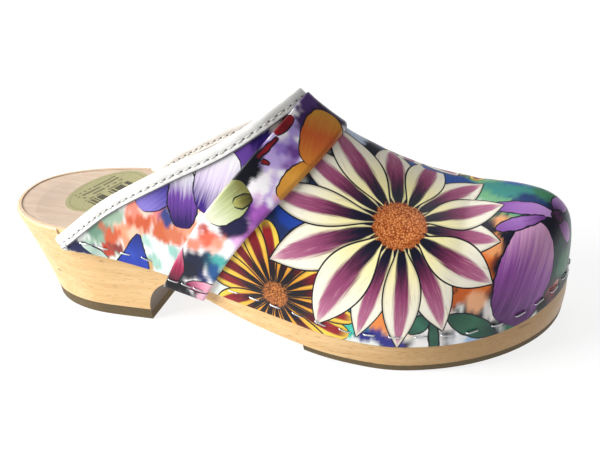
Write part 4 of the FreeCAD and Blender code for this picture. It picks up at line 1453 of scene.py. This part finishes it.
def print_zones(mesh):
    """The print each face wears: 0 ahead of the strap, 1 behind it, 2 the medial side ahead."""
    centres = np.empty(len(mesh.polygons) * 3)
    mesh.polygons.foreach_get("center", centres)
    x, y, z = (centres.reshape(-1, 3) * 1000 - SHIFT).T
    strap_middle = (strap_rear_z(x) + strap_front_z(x)) / 2
    behind = (x < BEHIND_STRAP_END_X) & (z > strap_middle)
    return np.where(behind, 1, np.where(y > MEDIAL_PRINT_Y, 2, 0)).tolist()


def make_upper():
    quarter_petals = REAR_PETALS + mirrored(REAR_PETALS)
    upper = printed_upper(printed_leather("printed_front_leather", FRONT_FLOWERS, FRONT_PETALS))
    prints = (("printed_quarter_leather", [], quarter_petals),
              ("printed_medial_leather", MEDIAL_FLOWERS, MEDIAL_PETALS))
    for name, flowers, petals in prints:
        upper.data.materials.append(printed_leather(name, flowers, petals))
    upper.data.polygons.foreach_set("material_index", print_zones(upper.data))
    ground = [((205, 0, 40), 78, "15182A"), ((245, 0, 40), 60, "15182A")]
    quarter = REAR_WASHES + mirrored(REAR_WASHES)
    inner_side = mirrored(FRONT_WASHES[1:30])
    paint_washes(upper, "E9EEE8", ground + quarter + inner_side + FRONT_WASHES, 2.0, 2.0)


def make_strap():
    strap = instep_strap(printed_leather("printed_strap_leather", [], STRAP_PETALS))
    paint_washes(strap, "F3F0F2", mirrored(STRAP_WASHES) + STRAP_WASHES, 9.0, 0.4)


def main():
    make_stage()
    make_light()
    make_camera()
    make_upper()
    make_strap()
    topline_binding(binding_material())
    stitches(plain_material("waxed_thread", (3.4, 2.0, 0.6), ("D6D3CC", "EFEDE8"),
                            (0.4, 0.62), (0.5, 0.0003), (0.55, 0.75)))
    steel = steel_material("staple_wire", "C2C3C6", "F0F1F3")
    binding_ends = binding_end_places()
    staples_piece("edge_staples", STAPLES, steel, "upper_staples", 5.0, 0.54)
    staples_piece("strap_end_staples", STRAP_STAPLES, steel, "strap_staples", 4.0, 0.08)
    staples_piece("binding_end_staple_wires", binding_ends, steel, "binding_end_staples", 2.0, 0.08)
    dress_node("wooden_sole", wood_material())
    rubber = rubber_material()
    dress_node("heel_lift", rubber)
    dress_node("forefoot_outsole", rubber)
    dress_node("vamp_lining", lining_material())
    fibre = plain_material("stiffener_fibre", (0.8, 4.0, 0.75, 1.5), ("B8AD97", "D5CCB8"),
                           (0.4, 0.65), (0.4, 0.0005), (0.8, 0.95))
    dress_node("toe_puff", fibre)
    nail = steel_material("nail_steel", "77736C", "A39E94")
    dress_node("heel_lift_nails", nail)
    dress_node("outsole_nails", nail)
    dress_node("size_label", label_material())


main()
